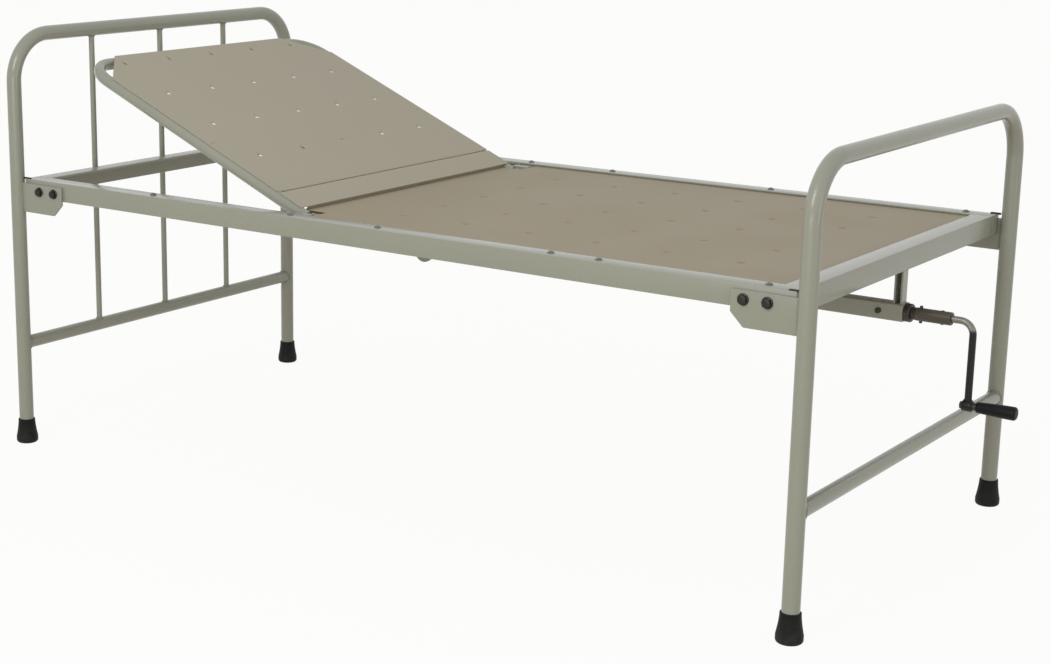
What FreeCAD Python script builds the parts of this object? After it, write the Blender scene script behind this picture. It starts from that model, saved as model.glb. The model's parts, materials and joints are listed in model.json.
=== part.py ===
import FreeCAD, Part
import math
import os

from FreeCAD import Vector

# Hospital ward bed with a crank-raised backrest, in millimetres.
# +X points to the foot end, +Z up. Shapes are drawn with x = 0 halfway between the two bows, and
# every one is moved by the same amount at the end, so that the origin is under the middle of the
# whole bed, crank included, on the floor.

# Bows: one bent tube at each end, whose two ends are the legs.
BED_LENGTH = 1868.0          # between the leg centres of the two bows
BED_WIDTH = 914.0            # between the leg centres of one bow
BOW_OD = 31.8
BOW_WALL = 1.6
BOW_BEND = 100.0             # centre-line radius of the top corners
HEAD_BOW_TOP = 910.0         # height of the top rail's centre line
FOOT_BOW_TOP = 816.0
LOWER_RAIL_OD = 28.6
LOWER_RAIL_WALL = 1.5
LOWER_RAIL_HEIGHT = 229.0
BAR_OD = 12.7
BAR_PITCH = 221.0
BAR_COUNT = 3

# Rubber ferrules on the leg ends.
FERRULE_HEIGHT = 55.0
FERRULE_SOLE = 8.0           # rubber under the tube's end
FERRULE_TOP_OD = 37.0
FERRULE_BASE_OD = 48.0
FERRULE_BAND = 14.0          # height up to which it keeps its full width
FERRULE_EDGE = 6.0           # rounding of the edge on the floor
FERRULE_TOP_EDGE = 1.5       # rounding of its upper edge

# Bed frame of rolled angle, its flange on top and facing inwards.
DECK_HEIGHT = 602.0          # top of the flanges
ANGLE_LEG = 40.0
ANGLE_THICK = 4.0
FRAME_END_GAP = 6.0          # from a leg's surface to the end of a side rail

# Gusset plates welded to the legs, bolted to the side rails.
GUSSET_THICK = 5.0
GUSSET_REACH = 138.0         # from the leg's centre
GUSSET_DROP = 9.0            # from the top of the flanges down to the gusset's top edge
GUSSET_HEIGHT = 64.0
GUSSET_CHAMFER = 25.0
GUSSET_BOLT_FIRST = 70.5     # from the leg's centre
GUSSET_BOLT_PITCH = 44.0
GUSSET_BOLT_DROP = 25.0      # from the top of the flanges down to the bolts
GUSSET_BOLT_D = 10.0
GUSSET_HEAD_AF = 15.0
GUSSET_HEAD_H = 6.0
GUSSET_HEAD_FLANGE_D = 21.0
GUSSET_HEAD_FLANGE_H = 1.6
GUSSET_NUT_H = 8.0

# Fixed deck sheet and its cross supports.
SHEET_THICK = 1.2
SHEET_EDGE_GAP = 0.5
DECK_LIP = 12.0
DECK_OVER_HINGE = 26.0       # the sheet reaches this far past the backrest's hinge axis
DECK_NOTCH_PAST = 26.0       # the corners are cut back to this far before the hinge axis
DECK_NOTCH_CLEAR = 3.3       # from the cut corners to the backrest's side tubes
HOLE_D = 18.0
HOLE_COLUMNS = 5
HOLE_COLUMN_MARGIN = 93.0    # from the outer columns to the backrest sheet's side edges
DECK_ROW_PITCH = 147.0
DECK_HOLE_FIRST = 165.0      # from the hinge axis to the first row
DECK_HOLE_MARGIN = 100.0     # least distance from the last row to the sheet's foot edge
SUPPORT_LEG = 35.0
SUPPORT_THICK = 4.0
SUPPORT_TOE = 10.0           # from the bolts to the flange's free edge, on the head side
HINGE_SUPPORT_FROM_HINGE = 86.0    # welded between the side rails
SUPPORT_1_FROM_HINGE = 216.0       # bolted through the flanges
SHEET_BOLT_FROM_HINGE = 604.0      # bolts that hold the sheet alone
SUPPORT_3_FROM_FOOT = 81.0         # bolted, from the foot legs' centres
DRIVE_SUPPORT_FROM_FOOT = 407.0    # bolted
SUPPORT_2_FROM_DRIVE = 171.0       # welded, on the head side of the drive's support

# Bolts through the side rails' flanges.
FLANGE_BOLT_D = 8.0
FLANGE_HEAD_D = 15.0
FLANGE_HEAD_H = 4.5
FLANGE_NUT_AF = 13.0
FLANGE_NUT_H = 6.5

# Backrest: a bent tube frame with a sheet on top. Lengths run from the hinge axis.
BACK_HINGE_FROM_HEAD = 758.0       # from the head legs' centres
BACK_HINGE_DROP = 21.0             # from the top of the flanges
BACK_REST_ANGLE = 23.0       # how far it is raised here
BACK_FULL_ANGLE = 70.0
BACK_TUBE_OD = 25.4
BACK_TUBE_WALL = 1.6
BACK_SIDE_CLEAR = 33.8       # from a side rail's flange to a side tube
BACK_LENGTH = 677.0          # to the end tube's centre line
BACK_BEND = 67.0
BACK_STIFFENER_AT = 300.0
BACK_STIFFENER_OD = 19.0
BACK_SHEET_START = 30.0
BACK_CREASE_AT = 94.0        # joint between the hinge strip and the main sheet
BACK_CREASE_GAP = 2.5
BACK_SHEET_END = 686.0
BACK_SHEET_OVER = 5.0        # past the side tubes' centre lines
BACK_SHEET_CHAMFER = 92.0
BACK_SHEET_LIP = 8.0
BACK_HOLE_ROWS = 4
BACK_HOLE_FIRST = 232.0
BACK_ROW_PITCH = 140.0

# Backrest hinge: a bracket under each side rail's flange, a pin, and a bush in the hinge tube.
HINGE_PLATE = 4.0
HINGE_PLATE_WIDTH = 40.0
HINGE_TUBE_PROUD = 1.8       # hinge tube past the side tubes
HINGE_BUSH_FLANGE = 1.7
HINGE_BUSH_LENGTH = 28.0
HINGE_END_PLAY = 0.3
HINGE_PIN_D = 12.0
HINGE_PIN_HEAD_D = 20.0
HINGE_PIN_HEAD_H = 5.0
RUNNING_FIT = 0.05           # radial clearance of a pin or shaft in its bush

# Rests that carry the backrest's side tubes when it lies flat.
REST_FROM_HEAD = 387.0       # from the head legs' centres
REST_WIDTH = 40.0
REST_INSET = 6.5             # from a side rail's flange to the rest's drop
REST_PAD_LENGTH = 32.0
REST_PAD_EDGE = 2.0          # shelf past the pad's inner end
REST_PAD_THICK = 3.0
REST_PAD_GAP = 0.3

# Drive: a screw in a channel under the deck moves a nut and a push tube.
DRIVE_DROP = 117.0           # from the top of the flanges down to the screw's axis
CHANNEL_WIDTH = 32.0
CHANNEL_HEIGHT = 32.0
CHANNEL_WALL = 2.5
CHANNEL_LENGTH = 407.1
CHANNEL_BOLT_BACK = 42.0     # cross bolt's place, back from the channel's foot end
CHANNEL_BOLT_AF = 10.0
CHANNEL_BOLT_H = 4.0
END_PLATE = 4.0
HANGER_X = 16.0
HANGER_Y = 24.0
HANGER_THICK = 3.0
SCREW_D = 16.0
SCREW_LENGTH = 222.1         # inside the channel's end plate
JOURNAL_D = 18.0
THRUST_RING_D = 26.0
THRUST_RING_L = 8.0
THRUST_PLAY = 0.3
COLLAR_D = 34.0
COLLAR_L = 12.0
NUT_LENGTH = 36.0
NUT_SIDE_GAP = 0.4
NUT_FROM_END_PLATE = 105.1   # at rest, to the nut's middle
PUSH_TUBE_OD = 25.4
PUSH_TUBE_WALL = 2.0
PUSH_TUBE_END = 20.0         # past the lever pin
LEVER_PIN_D = 12.0
LEVER_PIN_HEAD_D = 24.0
LEVER_PIN_HEAD_H = 4.0
LEVER_THICK = 6.0
LEVER_GAP = 28.0             # between the two lever plates
LEVER_WIDTH = 46.0           # at the slot's far end
LEVER_TOP_WIDTH = 38.0       # at the hinge tube
LEVER_PIN_SLACK = 0.5        # beside the pin, at its furthest to one side of the slot
LEVER_RATIO = 1.108          # pin travel per radian over its height below the hinge

# Crank at the foot end.
SHAFT_STEP_OUT = 53.0        # end of the screw's journal, out from the channel's end plate
SLEEVE_D = 24.0
SLEEVE_START = 20.0          # out from the end plate
SLEEVE_LENGTH = 67.0
CROSS_PIN_D = 6.0
CROSS_PIN_PROUD = 4.0
CRANK_ROD_D = 13.0
CRANK_BEND = 24.0
CRANK_OUT = 109.0            # arm's centre line, out from the foot legs' centres
CRANK_ARM = 154.0
EYE_D = 21.0
EYE_WIDTH = 18.0
GRIP_PIN_D = 8.0
GRIP_PIN_HEAD_AF = 13.0
GRIP_PIN_HEAD_H = 5.0
GRIP_NECK = 8.0
GRIP_NECK_D = 14.0
GRIP_LENGTH = 72.0
GRIP_START_D = 20.0
GRIP_MIDDLE_D = 24.0
GRIP_END_D = 25.0
GRIP_PLAY = 0.5

# Places worked out from the sizes above.
HEAD_X = -BED_LENGTH / 2
FOOT_X = BED_LENGTH / 2
LEG_Y = BED_WIDTH / 2
FRAME_END = BED_LENGTH / 2 - BOW_OD / 2 - FRAME_END_GAP
RAIL_Y = LEG_Y - GUSSET_THICK / 2            # outer face of a side rail
RAIL_INNER_Y = RAIL_Y - ANGLE_THICK
FLANGE_INNER_Y = RAIL_Y - ANGLE_LEG
FLANGE_UNDER = DECK_HEIGHT - ANGLE_THICK
DECK_UNDER = FLANGE_UNDER - SHEET_THICK
GUSSET_TOP = DECK_HEIGHT - GUSSET_DROP
GUSSET_BOTTOM = GUSSET_TOP - GUSSET_HEIGHT
GUSSET_BOLT_HEIGHT = DECK_HEIGHT - GUSSET_BOLT_DROP
CROSS_INNER_X = FRAME_END - ANGLE_THICK      # inner face of a cross angle's upright leg
BACK_HINGE_X = HEAD_X + BACK_HINGE_FROM_HEAD
BACK_HINGE_Z = DECK_HEIGHT - BACK_HINGE_DROP
BACK_TUBE_R = BACK_TUBE_OD / 2
BACK_HALF_WIDTH = FLANGE_INNER_Y - BACK_SIDE_CLEAR - BACK_TUBE_R     # side tube centre lines
BACK_SHEET_HALF_WIDTH = BACK_HALF_WIDTH + BACK_SHEET_OVER
REST_X = HEAD_X + REST_FROM_HEAD
REST_DROP_OUT = FLANGE_INNER_Y - REST_INSET
REST_REACH_IN = BACK_HALF_WIDTH - REST_PAD_LENGTH / 2 - REST_PAD_EDGE
HOLE_COLUMN_PITCH = 2 * (BACK_SHEET_HALF_WIDTH - HOLE_COLUMN_MARGIN) / (HOLE_COLUMNS - 1)
DECK_HEAD_X = BACK_HINGE_X - DECK_OVER_HINGE
DECK_FOOT_X = CROSS_INNER_X - SHEET_EDGE_GAP
DECK_NOTCH_X = BACK_HINGE_X + DECK_NOTCH_PAST
DECK_NOTCH_Y = BACK_HALF_WIDTH - BACK_TUBE_R - DECK_NOTCH_CLEAR
DECK_HOLE_FIRST_X = BACK_HINGE_X + DECK_HOLE_FIRST
DECK_HOLE_ROWS = 1 + int((DECK_FOOT_X - DECK_HOLE_MARGIN - DECK_HOLE_FIRST_X) / DECK_ROW_PITCH)
HINGE_SUPPORT_X = BACK_HINGE_X + HINGE_SUPPORT_FROM_HINGE
DRIVE_SUPPORT_X = FOOT_X - DRIVE_SUPPORT_FROM_FOOT
DECK_SUPPORT_X = (BACK_HINGE_X + SUPPORT_1_FROM_HINGE, DRIVE_SUPPORT_X - SUPPORT_2_FROM_DRIVE,
                  FOOT_X - SUPPORT_3_FROM_FOOT)
SHEET_BOLT_X = BACK_HINGE_X + SHEET_BOLT_FROM_HINGE
DECK_BOLT_X = (DECK_SUPPORT_X[0], SHEET_BOLT_X, DRIVE_SUPPORT_X, DECK_SUPPORT_X[2])
FLANGE_BOLT_Y = FLANGE_INNER_Y + ANGLE_LEG / 2
FLANGE_BOLT_X = (REST_X, BACK_HINGE_X) + DECK_BOLT_X
HINGE_TUBE_HALF = BACK_HALF_WIDTH + BACK_TUBE_R + HINGE_TUBE_PROUD
HINGE_BRACKET_Y = HINGE_TUBE_HALF + HINGE_BUSH_FLANGE + HINGE_END_PLAY
DRIVE_Z = DECK_HEIGHT - DRIVE_DROP
END_PLATE_X = FRAME_END                      # inner face of the channel's end plate
CHANNEL_FRONT_X = END_PLATE_X + END_PLATE
CHANNEL_HEAD_X = END_PLATE_X - CHANNEL_LENGTH
CHANNEL_TOP = DRIVE_Z + CHANNEL_HEIGHT / 2
SCREW_HEAD_X = END_PLATE_X - SCREW_LENGTH
NUT_REST_X = END_PLATE_X - NUT_FROM_END_PLATE
LEVER_DROP = BACK_HINGE_Z - DRIVE_Z
PIN_PER_RADIAN = LEVER_RATIO * LEVER_DROP
MID_ANGLE = BACK_FULL_ANGLE / 2              # the lever hangs straight down here
PIN_REST_X = BACK_HINGE_X + PIN_PER_RADIAN * math.radians(MID_ANGLE - BACK_REST_ANGLE)
LEVER_Y = LEVER_GAP / 2 + LEVER_THICK / 2
CRANK_X = FOOT_X + CRANK_OUT
GRIP_X = CRANK_X + EYE_WIDTH / 2 + GRIP_NECK
GRIP_END_X = GRIP_X + GRIP_LENGTH
CENTRE_SHIFT = -(GRIP_END_X + HEAD_X - FERRULE_BASE_OD / 2) / 2

ENDS = (("head", -1), ("foot", 1))
SIDES = (("near", -1), ("far", 1))


def box(x0, x1, y0, y1, z0, z1):
    """Box between two corners, whichever way round they are given."""
    low = Vector(min(x0, x1), min(y0, y1), min(z0, z1))
    return Part.makeBox(abs(x1 - x0), abs(y1 - y0), abs(z1 - z0), low)


def rod(start, end, diameter):
    """Round bar between two points."""
    start = Vector(*start)
    along = Vector(*end) - start
    return Part.makeCylinder(diameter / 2, along.Length, start, along)


def pipe(start, end, diameter, wall):
    """Straight tube between two points."""
    return rod(start, end, diameter).cut(rod(start, end, diameter - 2 * wall))


def hexagon(start, direction, across_flats, height):
    """Hexagonal prism, from a point along a direction."""
    radius = across_flats / math.sqrt(3)
    corners = [Vector(radius * math.cos(math.radians(60 * i)),
                      radius * math.sin(math.radians(60 * i)), 0) for i in range(7)]
    prism = Part.Face(Part.makePolygon(corners)).extrude(Vector(0, 0, height))
    turn = FreeCAD.Rotation(Vector(0, 0, 1), Vector(*direction))
    prism.Placement = FreeCAD.Placement(Vector(*start), turn)
    return prism


def bent_path(foot_a, top_a, top_b, foot_b, radius):
    """Wire from foot_a over two rounded corners to foot_b."""
    points = [Vector(*p) for p in (foot_a, top_a, top_b, foot_b)]
    edges = []
    start = points[0]
    for before, corner, after in (points[0:3], points[1:4]):
        back = (before - corner).normalize()
        ahead = (after - corner).normalize()
        middle = (back + ahead).normalize()
        bend_in = corner + back * radius
        bend_out = corner + ahead * radius
        top = corner + middle * (radius * math.sqrt(2) - radius)
        edges.append(Part.LineSegment(start, bend_in).toShape())
        edges.append(Part.Arc(bend_in, top, bend_out).toShape())
        start = bend_out
    edges.append(Part.LineSegment(start, points[3]).toShape())
    return Part.Wire(edges)


def sweep(path, diameter):
    """Round section carried along a path."""
    first = path.Edges[0]
    section = Part.makeCircle(diameter / 2, first.valueAt(first.FirstParameter),
                              first.tangentAt(first.FirstParameter))
    return path.makePipeShell([Part.Wire(section)], True, False)


def bow_path(x, top):
    """Centre line of a bow: up one leg, over and down the other."""
    return bent_path((x, -LEG_Y, FERRULE_SOLE), (x, -LEG_Y, top), (x, LEG_Y, top),
                     (x, LEG_Y, FERRULE_SOLE), BOW_BEND)


def bow_tube(x, top):
    path = bow_path(x, top)
    return sweep(path, BOW_OD).cut(sweep(path, BOW_OD - 2 * BOW_WALL))


def lower_rail(x, top):
    """Cross tube between the legs, its ends shaped to them."""
    rail = pipe((x, -LEG_Y, LOWER_RAIL_HEIGHT), (x, LEG_Y, LOWER_RAIL_HEIGHT),
                LOWER_RAIL_OD, LOWER_RAIL_WALL)
    return rail.cut(sweep(bow_path(x, top), BOW_OD))


def head_bar(y):
    """Upright bar between the head bow's lower rail and top rail, shaped to both."""
    bar = rod((HEAD_X, y, LOWER_RAIL_HEIGHT), (HEAD_X, y, HEAD_BOW_TOP), BAR_OD)
    bar = bar.cut(rod((HEAD_X, y - BAR_OD, LOWER_RAIL_HEIGHT), (HEAD_X, y + BAR_OD, LOWER_RAIL_HEIGHT),
                      LOWER_RAIL_OD))
    return bar.cut(rod((HEAD_X, y - BAR_OD, HEAD_BOW_TOP), (HEAD_X, y + BAR_OD, HEAD_BOW_TOP), BOW_OD))


def ferrule(x, y):
    """Rubber foot: widest in a low band with a rounded edge on the floor, then tapering in a hollow curve."""
    base = FERRULE_BASE_OD / 2
    top = FERRULE_TOP_OD / 2
    edge = FERRULE_EDGE
    lip = FERRULE_TOP_EDGE
    rise = FERRULE_HEIGHT - lip - FERRULE_BAND
    bend = math.sqrt(0.5)
    flat = Part.LineSegment(Vector(0, 0, 0), Vector(base - edge, 0, 0))
    floor_edge = Part.Arc(Vector(base - edge, 0, 0), Vector(base - edge * (1 - bend), 0, edge * (1 - bend)),
                          Vector(base, 0, edge))
    band = Part.LineSegment(Vector(base, 0, edge), Vector(base, 0, FERRULE_BAND))
    taper = Part.BSplineCurve()
    taper.interpolate([Vector(base, 0, FERRULE_BAND),
                       Vector(top + 0.60 * (base - top), 0, FERRULE_BAND + 0.25 * rise),
                       Vector(top + 0.33 * (base - top), 0, FERRULE_BAND + 0.50 * rise),
                       Vector(top + 0.14 * (base - top), 0, FERRULE_BAND + 0.75 * rise),
                       Vector(top, 0, FERRULE_BAND + rise)])
    top_edge = Part.Arc(Vector(top, 0, FERRULE_HEIGHT - lip),
                        Vector(top - lip * (1 - bend), 0, FERRULE_HEIGHT - lip * (1 - bend)),
                        Vector(top - lip, 0, FERRULE_HEIGHT))
    close = [Part.LineSegment(Vector(top - lip, 0, FERRULE_HEIGHT), Vector(0, 0, FERRULE_HEIGHT)),
             Part.LineSegment(Vector(0, 0, FERRULE_HEIGHT), Vector(0, 0, 0))]
    outline = Part.Wire([curve.toShape() for curve in [flat, floor_edge, band, taper, top_edge] + close])
    body = Part.Face(outline).revolve(Vector(0, 0, 0), Vector(0, 0, 1), 360)
    body = body.cut(rod((0, 0, FERRULE_SOLE), (0, 0, FERRULE_HEIGHT + 1), BOW_OD))
    body.translate(Vector(x, y, 0))
    return body


def gusset(end, side):
    """Plate from a leg to the outside of the side rail, with its lower inner corner cut off."""
    leg_x = end * BED_LENGTH / 2
    tip_x = leg_x - end * GUSSET_REACH
    corners = [Vector(leg_x, 0, GUSSET_TOP), Vector(tip_x, 0, GUSSET_TOP),
               Vector(tip_x, 0, GUSSET_BOTTOM + GUSSET_CHAMFER),
               Vector(tip_x + end * GUSSET_CHAMFER, 0, GUSSET_BOTTOM),
               Vector(leg_x, 0, GUSSET_BOTTOM), Vector(leg_x, 0, GUSSET_TOP)]
    plate = Part.Face(Part.makePolygon(corners)).extrude(Vector(0, GUSSET_THICK, 0))
    plate.translate(Vector(0, side * LEG_Y - GUSSET_THICK / 2, 0))
    plate = plate.cut(rod((leg_x, side * LEG_Y, GUSSET_BOTTOM - 1), (leg_x, side * LEG_Y, GUSSET_TOP + 1),
                          BOW_OD))
    for x in gusset_bolt_x(end):
        plate = plate.cut(rod((x, side * (LEG_Y - GUSSET_THICK), GUSSET_BOLT_HEIGHT),
                              (x, side * (LEG_Y + GUSSET_THICK), GUSSET_BOLT_HEIGHT), GUSSET_BOLT_D))
    return plate


def gusset_bolt_x(end):
    first = end * (BED_LENGTH / 2 - GUSSET_BOLT_FIRST)
    return (first, first - end * GUSSET_BOLT_PITCH)


def gusset_bolt(x, side):
    """Flange-head bolt from outside, through gusset and rail, with a short length past its nut."""
    face = side * (LEG_Y + GUSSET_THICK / 2)
    inner = side * (RAIL_INNER_Y - GUSSET_NUT_H - 2)
    out = (0, side, 0)
    flange = rod((x, face, GUSSET_BOLT_HEIGHT), (x, face + side * GUSSET_HEAD_FLANGE_H, GUSSET_BOLT_HEIGHT),
                 GUSSET_HEAD_FLANGE_D)
    head = hexagon((x, face, GUSSET_BOLT_HEIGHT), out, GUSSET_HEAD_AF, GUSSET_HEAD_H + GUSSET_HEAD_FLANGE_H)
    shank = rod((x, face, GUSSET_BOLT_HEIGHT), (x, inner, GUSSET_BOLT_HEIGHT), GUSSET_BOLT_D)
    return flange.fuse([head, shank]).removeSplitter()


def gusset_nut(x, side):
    start = (x, side * RAIL_INNER_Y, GUSSET_BOLT_HEIGHT)
    nut = hexagon(start, (0, -side, 0), GUSSET_HEAD_AF, GUSSET_NUT_H)
    return nut.cut(rod(start, (x, side * (RAIL_INNER_Y - GUSSET_NUT_H), GUSSET_BOLT_HEIGHT), GUSSET_BOLT_D))


def side_rail(side):
    """Angle along one side, flange on top facing in, drilled for gusset and flange bolts."""
    upright = box(-FRAME_END, FRAME_END, side * RAIL_Y, side * RAIL_INNER_Y, DECK_HEIGHT - ANGLE_LEG,
                  DECK_HEIGHT)
    flange = box(-FRAME_END, FRAME_END, side * RAIL_Y, side * FLANGE_INNER_Y, FLANGE_UNDER, DECK_HEIGHT)
    rail = upright.fuse(flange).removeSplitter()
    for end in (-1, 1):
        for x in gusset_bolt_x(end):
            rail = rail.cut(rod((x, side * (RAIL_Y + 1), GUSSET_BOLT_HEIGHT),
                                (x, side * (RAIL_INNER_Y - 1), GUSSET_BOLT_HEIGHT), GUSSET_BOLT_D))
    for x in FLANGE_BOLT_X:
        rail = rail.cut(flange_bolt_hole(x, side))
    return rail


def cross_angle(end):
    """Angle across one end: its upright meets the side rails, its flange is coped to theirs."""
    upright = box(end * FRAME_END, end * CROSS_INNER_X, -RAIL_INNER_Y, RAIL_INNER_Y,
                  DECK_HEIGHT - ANGLE_LEG, FLANGE_UNDER)
    top = box(end * FRAME_END, end * (FRAME_END - ANGLE_LEG), -FLANGE_INNER_Y, FLANGE_INNER_Y,
              FLANGE_UNDER, DECK_HEIGHT)
    return upright.fuse(top).removeSplitter()


def flange_bolt_hole(x, side):
    return rod((x, side * FLANGE_BOLT_Y, DECK_UNDER - 2 * SUPPORT_THICK),
               (x, side * FLANGE_BOLT_Y, DECK_HEIGHT + 1), FLANGE_BOLT_D)


def clamped_under(x):
    """Underside of what a flange bolt clamps: a bracket, the sheet, or the sheet and a support."""
    if x in (REST_X, BACK_HINGE_X):
        return FLANGE_UNDER - HINGE_PLATE
    if x == SHEET_BOLT_X:
        return DECK_UNDER
    return DECK_UNDER - SUPPORT_THICK


def flange_bolt(x, side):
    """Round-headed bolt down through a side rail's flange."""
    y = side * FLANGE_BOLT_Y
    dome_r = (FLANGE_HEAD_D ** 2 / 4 + FLANGE_HEAD_H ** 2) / (2 * FLANGE_HEAD_H)
    dome = Part.makeSphere(dome_r, Vector(x, y, DECK_HEIGHT + FLANGE_HEAD_H - dome_r))
    head = dome.common(rod((x, y, DECK_HEIGHT), (x, y, DECK_HEIGHT + 2 * FLANGE_HEAD_H), 2 * FLANGE_HEAD_D))
    shank = rod((x, y, clamped_under(x) - FLANGE_NUT_H - 2), (x, y, DECK_HEIGHT), FLANGE_BOLT_D)
    return head.fuse(shank).removeSplitter()


def flange_nut(x, side):
    y = side * FLANGE_BOLT_Y
    top = clamped_under(x)
    nut = hexagon((x, y, top), (0, 0, -1), FLANGE_NUT_AF, FLANGE_NUT_H)
    return nut.cut(rod((x, y, top), (x, y, top - FLANGE_NUT_H), FLANGE_BOLT_D))


def hole_rows(first, pitch, count):
    return [first + pitch * i for i in range(count)]


def hole_columns():
    return [HOLE_COLUMN_PITCH * (i - (HOLE_COLUMNS - 1) / 2) for i in range(HOLE_COLUMNS)]


def deck_sheet():
    """Fixed sheet clamped under the flanges, with a stiffening lip beside the backrest."""
    edge_y = RAIL_INNER_Y - SHEET_EDGE_GAP
    sheet = box(DECK_HEAD_X, DECK_FOOT_X, -edge_y, edge_y, DECK_UNDER, FLANGE_UNDER)
    lip = box(DECK_HEAD_X, DECK_HEAD_X + SHEET_THICK, -DECK_NOTCH_Y, DECK_NOTCH_Y,
              FLANGE_UNDER - DECK_LIP, FLANGE_UNDER)
    sheet = sheet.fuse(lip).removeSplitter()
    for _, side in SIDES:
        sheet = sheet.cut(box(DECK_HEAD_X - 1, DECK_NOTCH_X, side * DECK_NOTCH_Y, side * RAIL_Y,
                              DECK_UNDER - 1, DECK_HEIGHT))
        for x in DECK_BOLT_X:
            sheet = sheet.cut(flange_bolt_hole(x, side))
    rows = hole_rows(DECK_HOLE_FIRST_X, DECK_ROW_PITCH, DECK_HOLE_ROWS)
    holes = [rod((x, y, DECK_UNDER - 1), (x, y, DECK_HEIGHT), HOLE_D) for x in rows for y in hole_columns()]
    return sheet.cut(Part.makeCompound(holes))


def deck_support(x, bolted):
    """Angle across the bed under the sheet, between the side rails' uprights, its web on the foot side."""
    toe = x - SUPPORT_TOE
    heel = toe + SUPPORT_LEG
    top = box(toe, heel, -RAIL_INNER_Y, RAIL_INNER_Y, DECK_UNDER - SUPPORT_THICK, DECK_UNDER)
    web = box(heel - SUPPORT_THICK, heel, -RAIL_INNER_Y, RAIL_INNER_Y, DECK_UNDER - SUPPORT_LEG, DECK_UNDER)
    angle = top.fuse(web).removeSplitter()
    if bolted:
        for _, side in SIDES:
            angle = angle.cut(flange_bolt_hole(x, side))
    return angle


def folded_plate(corners, width, x):
    """Bent plate: a closed outline in the Y-Z plane, as wide as given and centred at x."""
    points = [Vector(0, y, z) for y, z in corners]
    plate = Part.Face(Part.makePolygon(points + points[:1])).extrude(Vector(width, 0, 0))
    plate.translate(Vector(x - width / 2, 0, 0))
    return plate


def hinge_bracket(side):
    """Angle bracket bolted under the flange, with a rounded ear for the backrest's pin."""
    inner = HINGE_BRACKET_Y
    radius = HINGE_PLATE_WIDTH / 2
    tab_end = RAIL_INNER_Y - SHEET_EDGE_GAP
    corners = [(inner, BACK_HINGE_Z), (inner, FLANGE_UNDER), (tab_end, FLANGE_UNDER),
               (tab_end, FLANGE_UNDER - HINGE_PLATE), (inner + HINGE_PLATE, FLANGE_UNDER - HINGE_PLATE),
               (inner + HINGE_PLATE, BACK_HINGE_Z)]
    plate = folded_plate([(side * y, z) for y, z in corners], HINGE_PLATE_WIDTH, BACK_HINGE_X)
    ear = rod((BACK_HINGE_X, side * inner, BACK_HINGE_Z),
              (BACK_HINGE_X, side * (inner + HINGE_PLATE), BACK_HINGE_Z), 2 * radius)
    ear = ear.cut(box(BACK_HINGE_X - radius, BACK_HINGE_X + radius, side * inner,
                      side * (inner + HINGE_PLATE), BACK_HINGE_Z, BACK_HINGE_Z + radius))
    bracket = plate.fuse(ear).removeSplitter()
    bracket = bracket.cut(rod((BACK_HINGE_X, side * (inner - 1), BACK_HINGE_Z),
                              (BACK_HINGE_X, side * (inner + HINGE_PLATE + 1), BACK_HINGE_Z), HINGE_PIN_D))
    return bracket.cut(flange_bolt_hole(BACK_HINGE_X, side))


def hinge_pin(side):
    """Headed pin held by the bracket, reaching into the bush."""
    outer = HINGE_BRACKET_Y + HINGE_PLATE
    inner = HINGE_TUBE_HALF - HINGE_BUSH_LENGTH
    shank = rod((BACK_HINGE_X, side * inner, BACK_HINGE_Z), (BACK_HINGE_X, side * outer, BACK_HINGE_Z),
                HINGE_PIN_D)
    head = rod((BACK_HINGE_X, side * outer, BACK_HINGE_Z),
               (BACK_HINGE_X, side * (outer + HINGE_PIN_HEAD_H), BACK_HINGE_Z), HINGE_PIN_HEAD_D)
    return shank.fuse(head).removeSplitter()


def hinge_bush(side):
    """Flanged bush in the end of the hinge tube."""
    inner = HINGE_TUBE_HALF - HINGE_BUSH_LENGTH
    flange_end = HINGE_TUBE_HALF + HINGE_BUSH_FLANGE
    x, z = BACK_HINGE_X, BACK_HINGE_Z
    body = rod((x, side * inner, z), (x, side * HINGE_TUBE_HALF, z), BACK_TUBE_OD - 2 * BACK_TUBE_WALL)
    flange = rod((x, side * HINGE_TUBE_HALF, z), (x, side * flange_end, z), BACK_TUBE_OD)
    bore = rod((x, side * (inner - 1), z), (x, side * (flange_end + 1), z), HINGE_PIN_D + 2 * RUNNING_FIT)
    return body.fuse(flange).removeSplitter().cut(bore)


def rest_shelf_top():
    return BACK_HINGE_Z - BACK_TUBE_R - REST_PAD_GAP - REST_PAD_THICK


def backrest_rest(side):
    """Stepped bracket bolted under the flange, with a shelf under the side tube's flat position."""
    shelf = rest_shelf_top()
    t = HINGE_PLATE
    tab_end = RAIL_INNER_Y - SHEET_EDGE_GAP
    corners = [(tab_end, FLANGE_UNDER), (REST_DROP_OUT - t, FLANGE_UNDER), (REST_DROP_OUT - t, shelf),
               (REST_REACH_IN, shelf), (REST_REACH_IN, shelf - t), (REST_DROP_OUT, shelf - t),
               (REST_DROP_OUT, FLANGE_UNDER - t), (tab_end, FLANGE_UNDER - t)]
    bracket = folded_plate([(side * y, z) for y, z in corners], REST_WIDTH, REST_X)
    return bracket.cut(flange_bolt_hole(REST_X, side))


def rest_pad(side):
    """Rubber pad on a rest's shelf."""
    shelf = rest_shelf_top()
    half = REST_PAD_LENGTH / 2
    return box(REST_X - REST_WIDTH / 2, REST_X + REST_WIDTH / 2, side * (BACK_HALF_WIDTH - half),
               side * (BACK_HALF_WIDTH + half), shelf, shelf + REST_PAD_THICK)


def raised(shape):
    """Turns a backrest shape, drawn lying flat, up to its rest position."""
    shape.rotate(Vector(BACK_HINGE_X, 0, BACK_HINGE_Z), Vector(0, 1, 0), BACK_REST_ANGLE)
    return shape


def on_back(distance):
    """X of a place on the flat backrest, from its distance to the hinge."""
    return BACK_HINGE_X - distance


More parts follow.
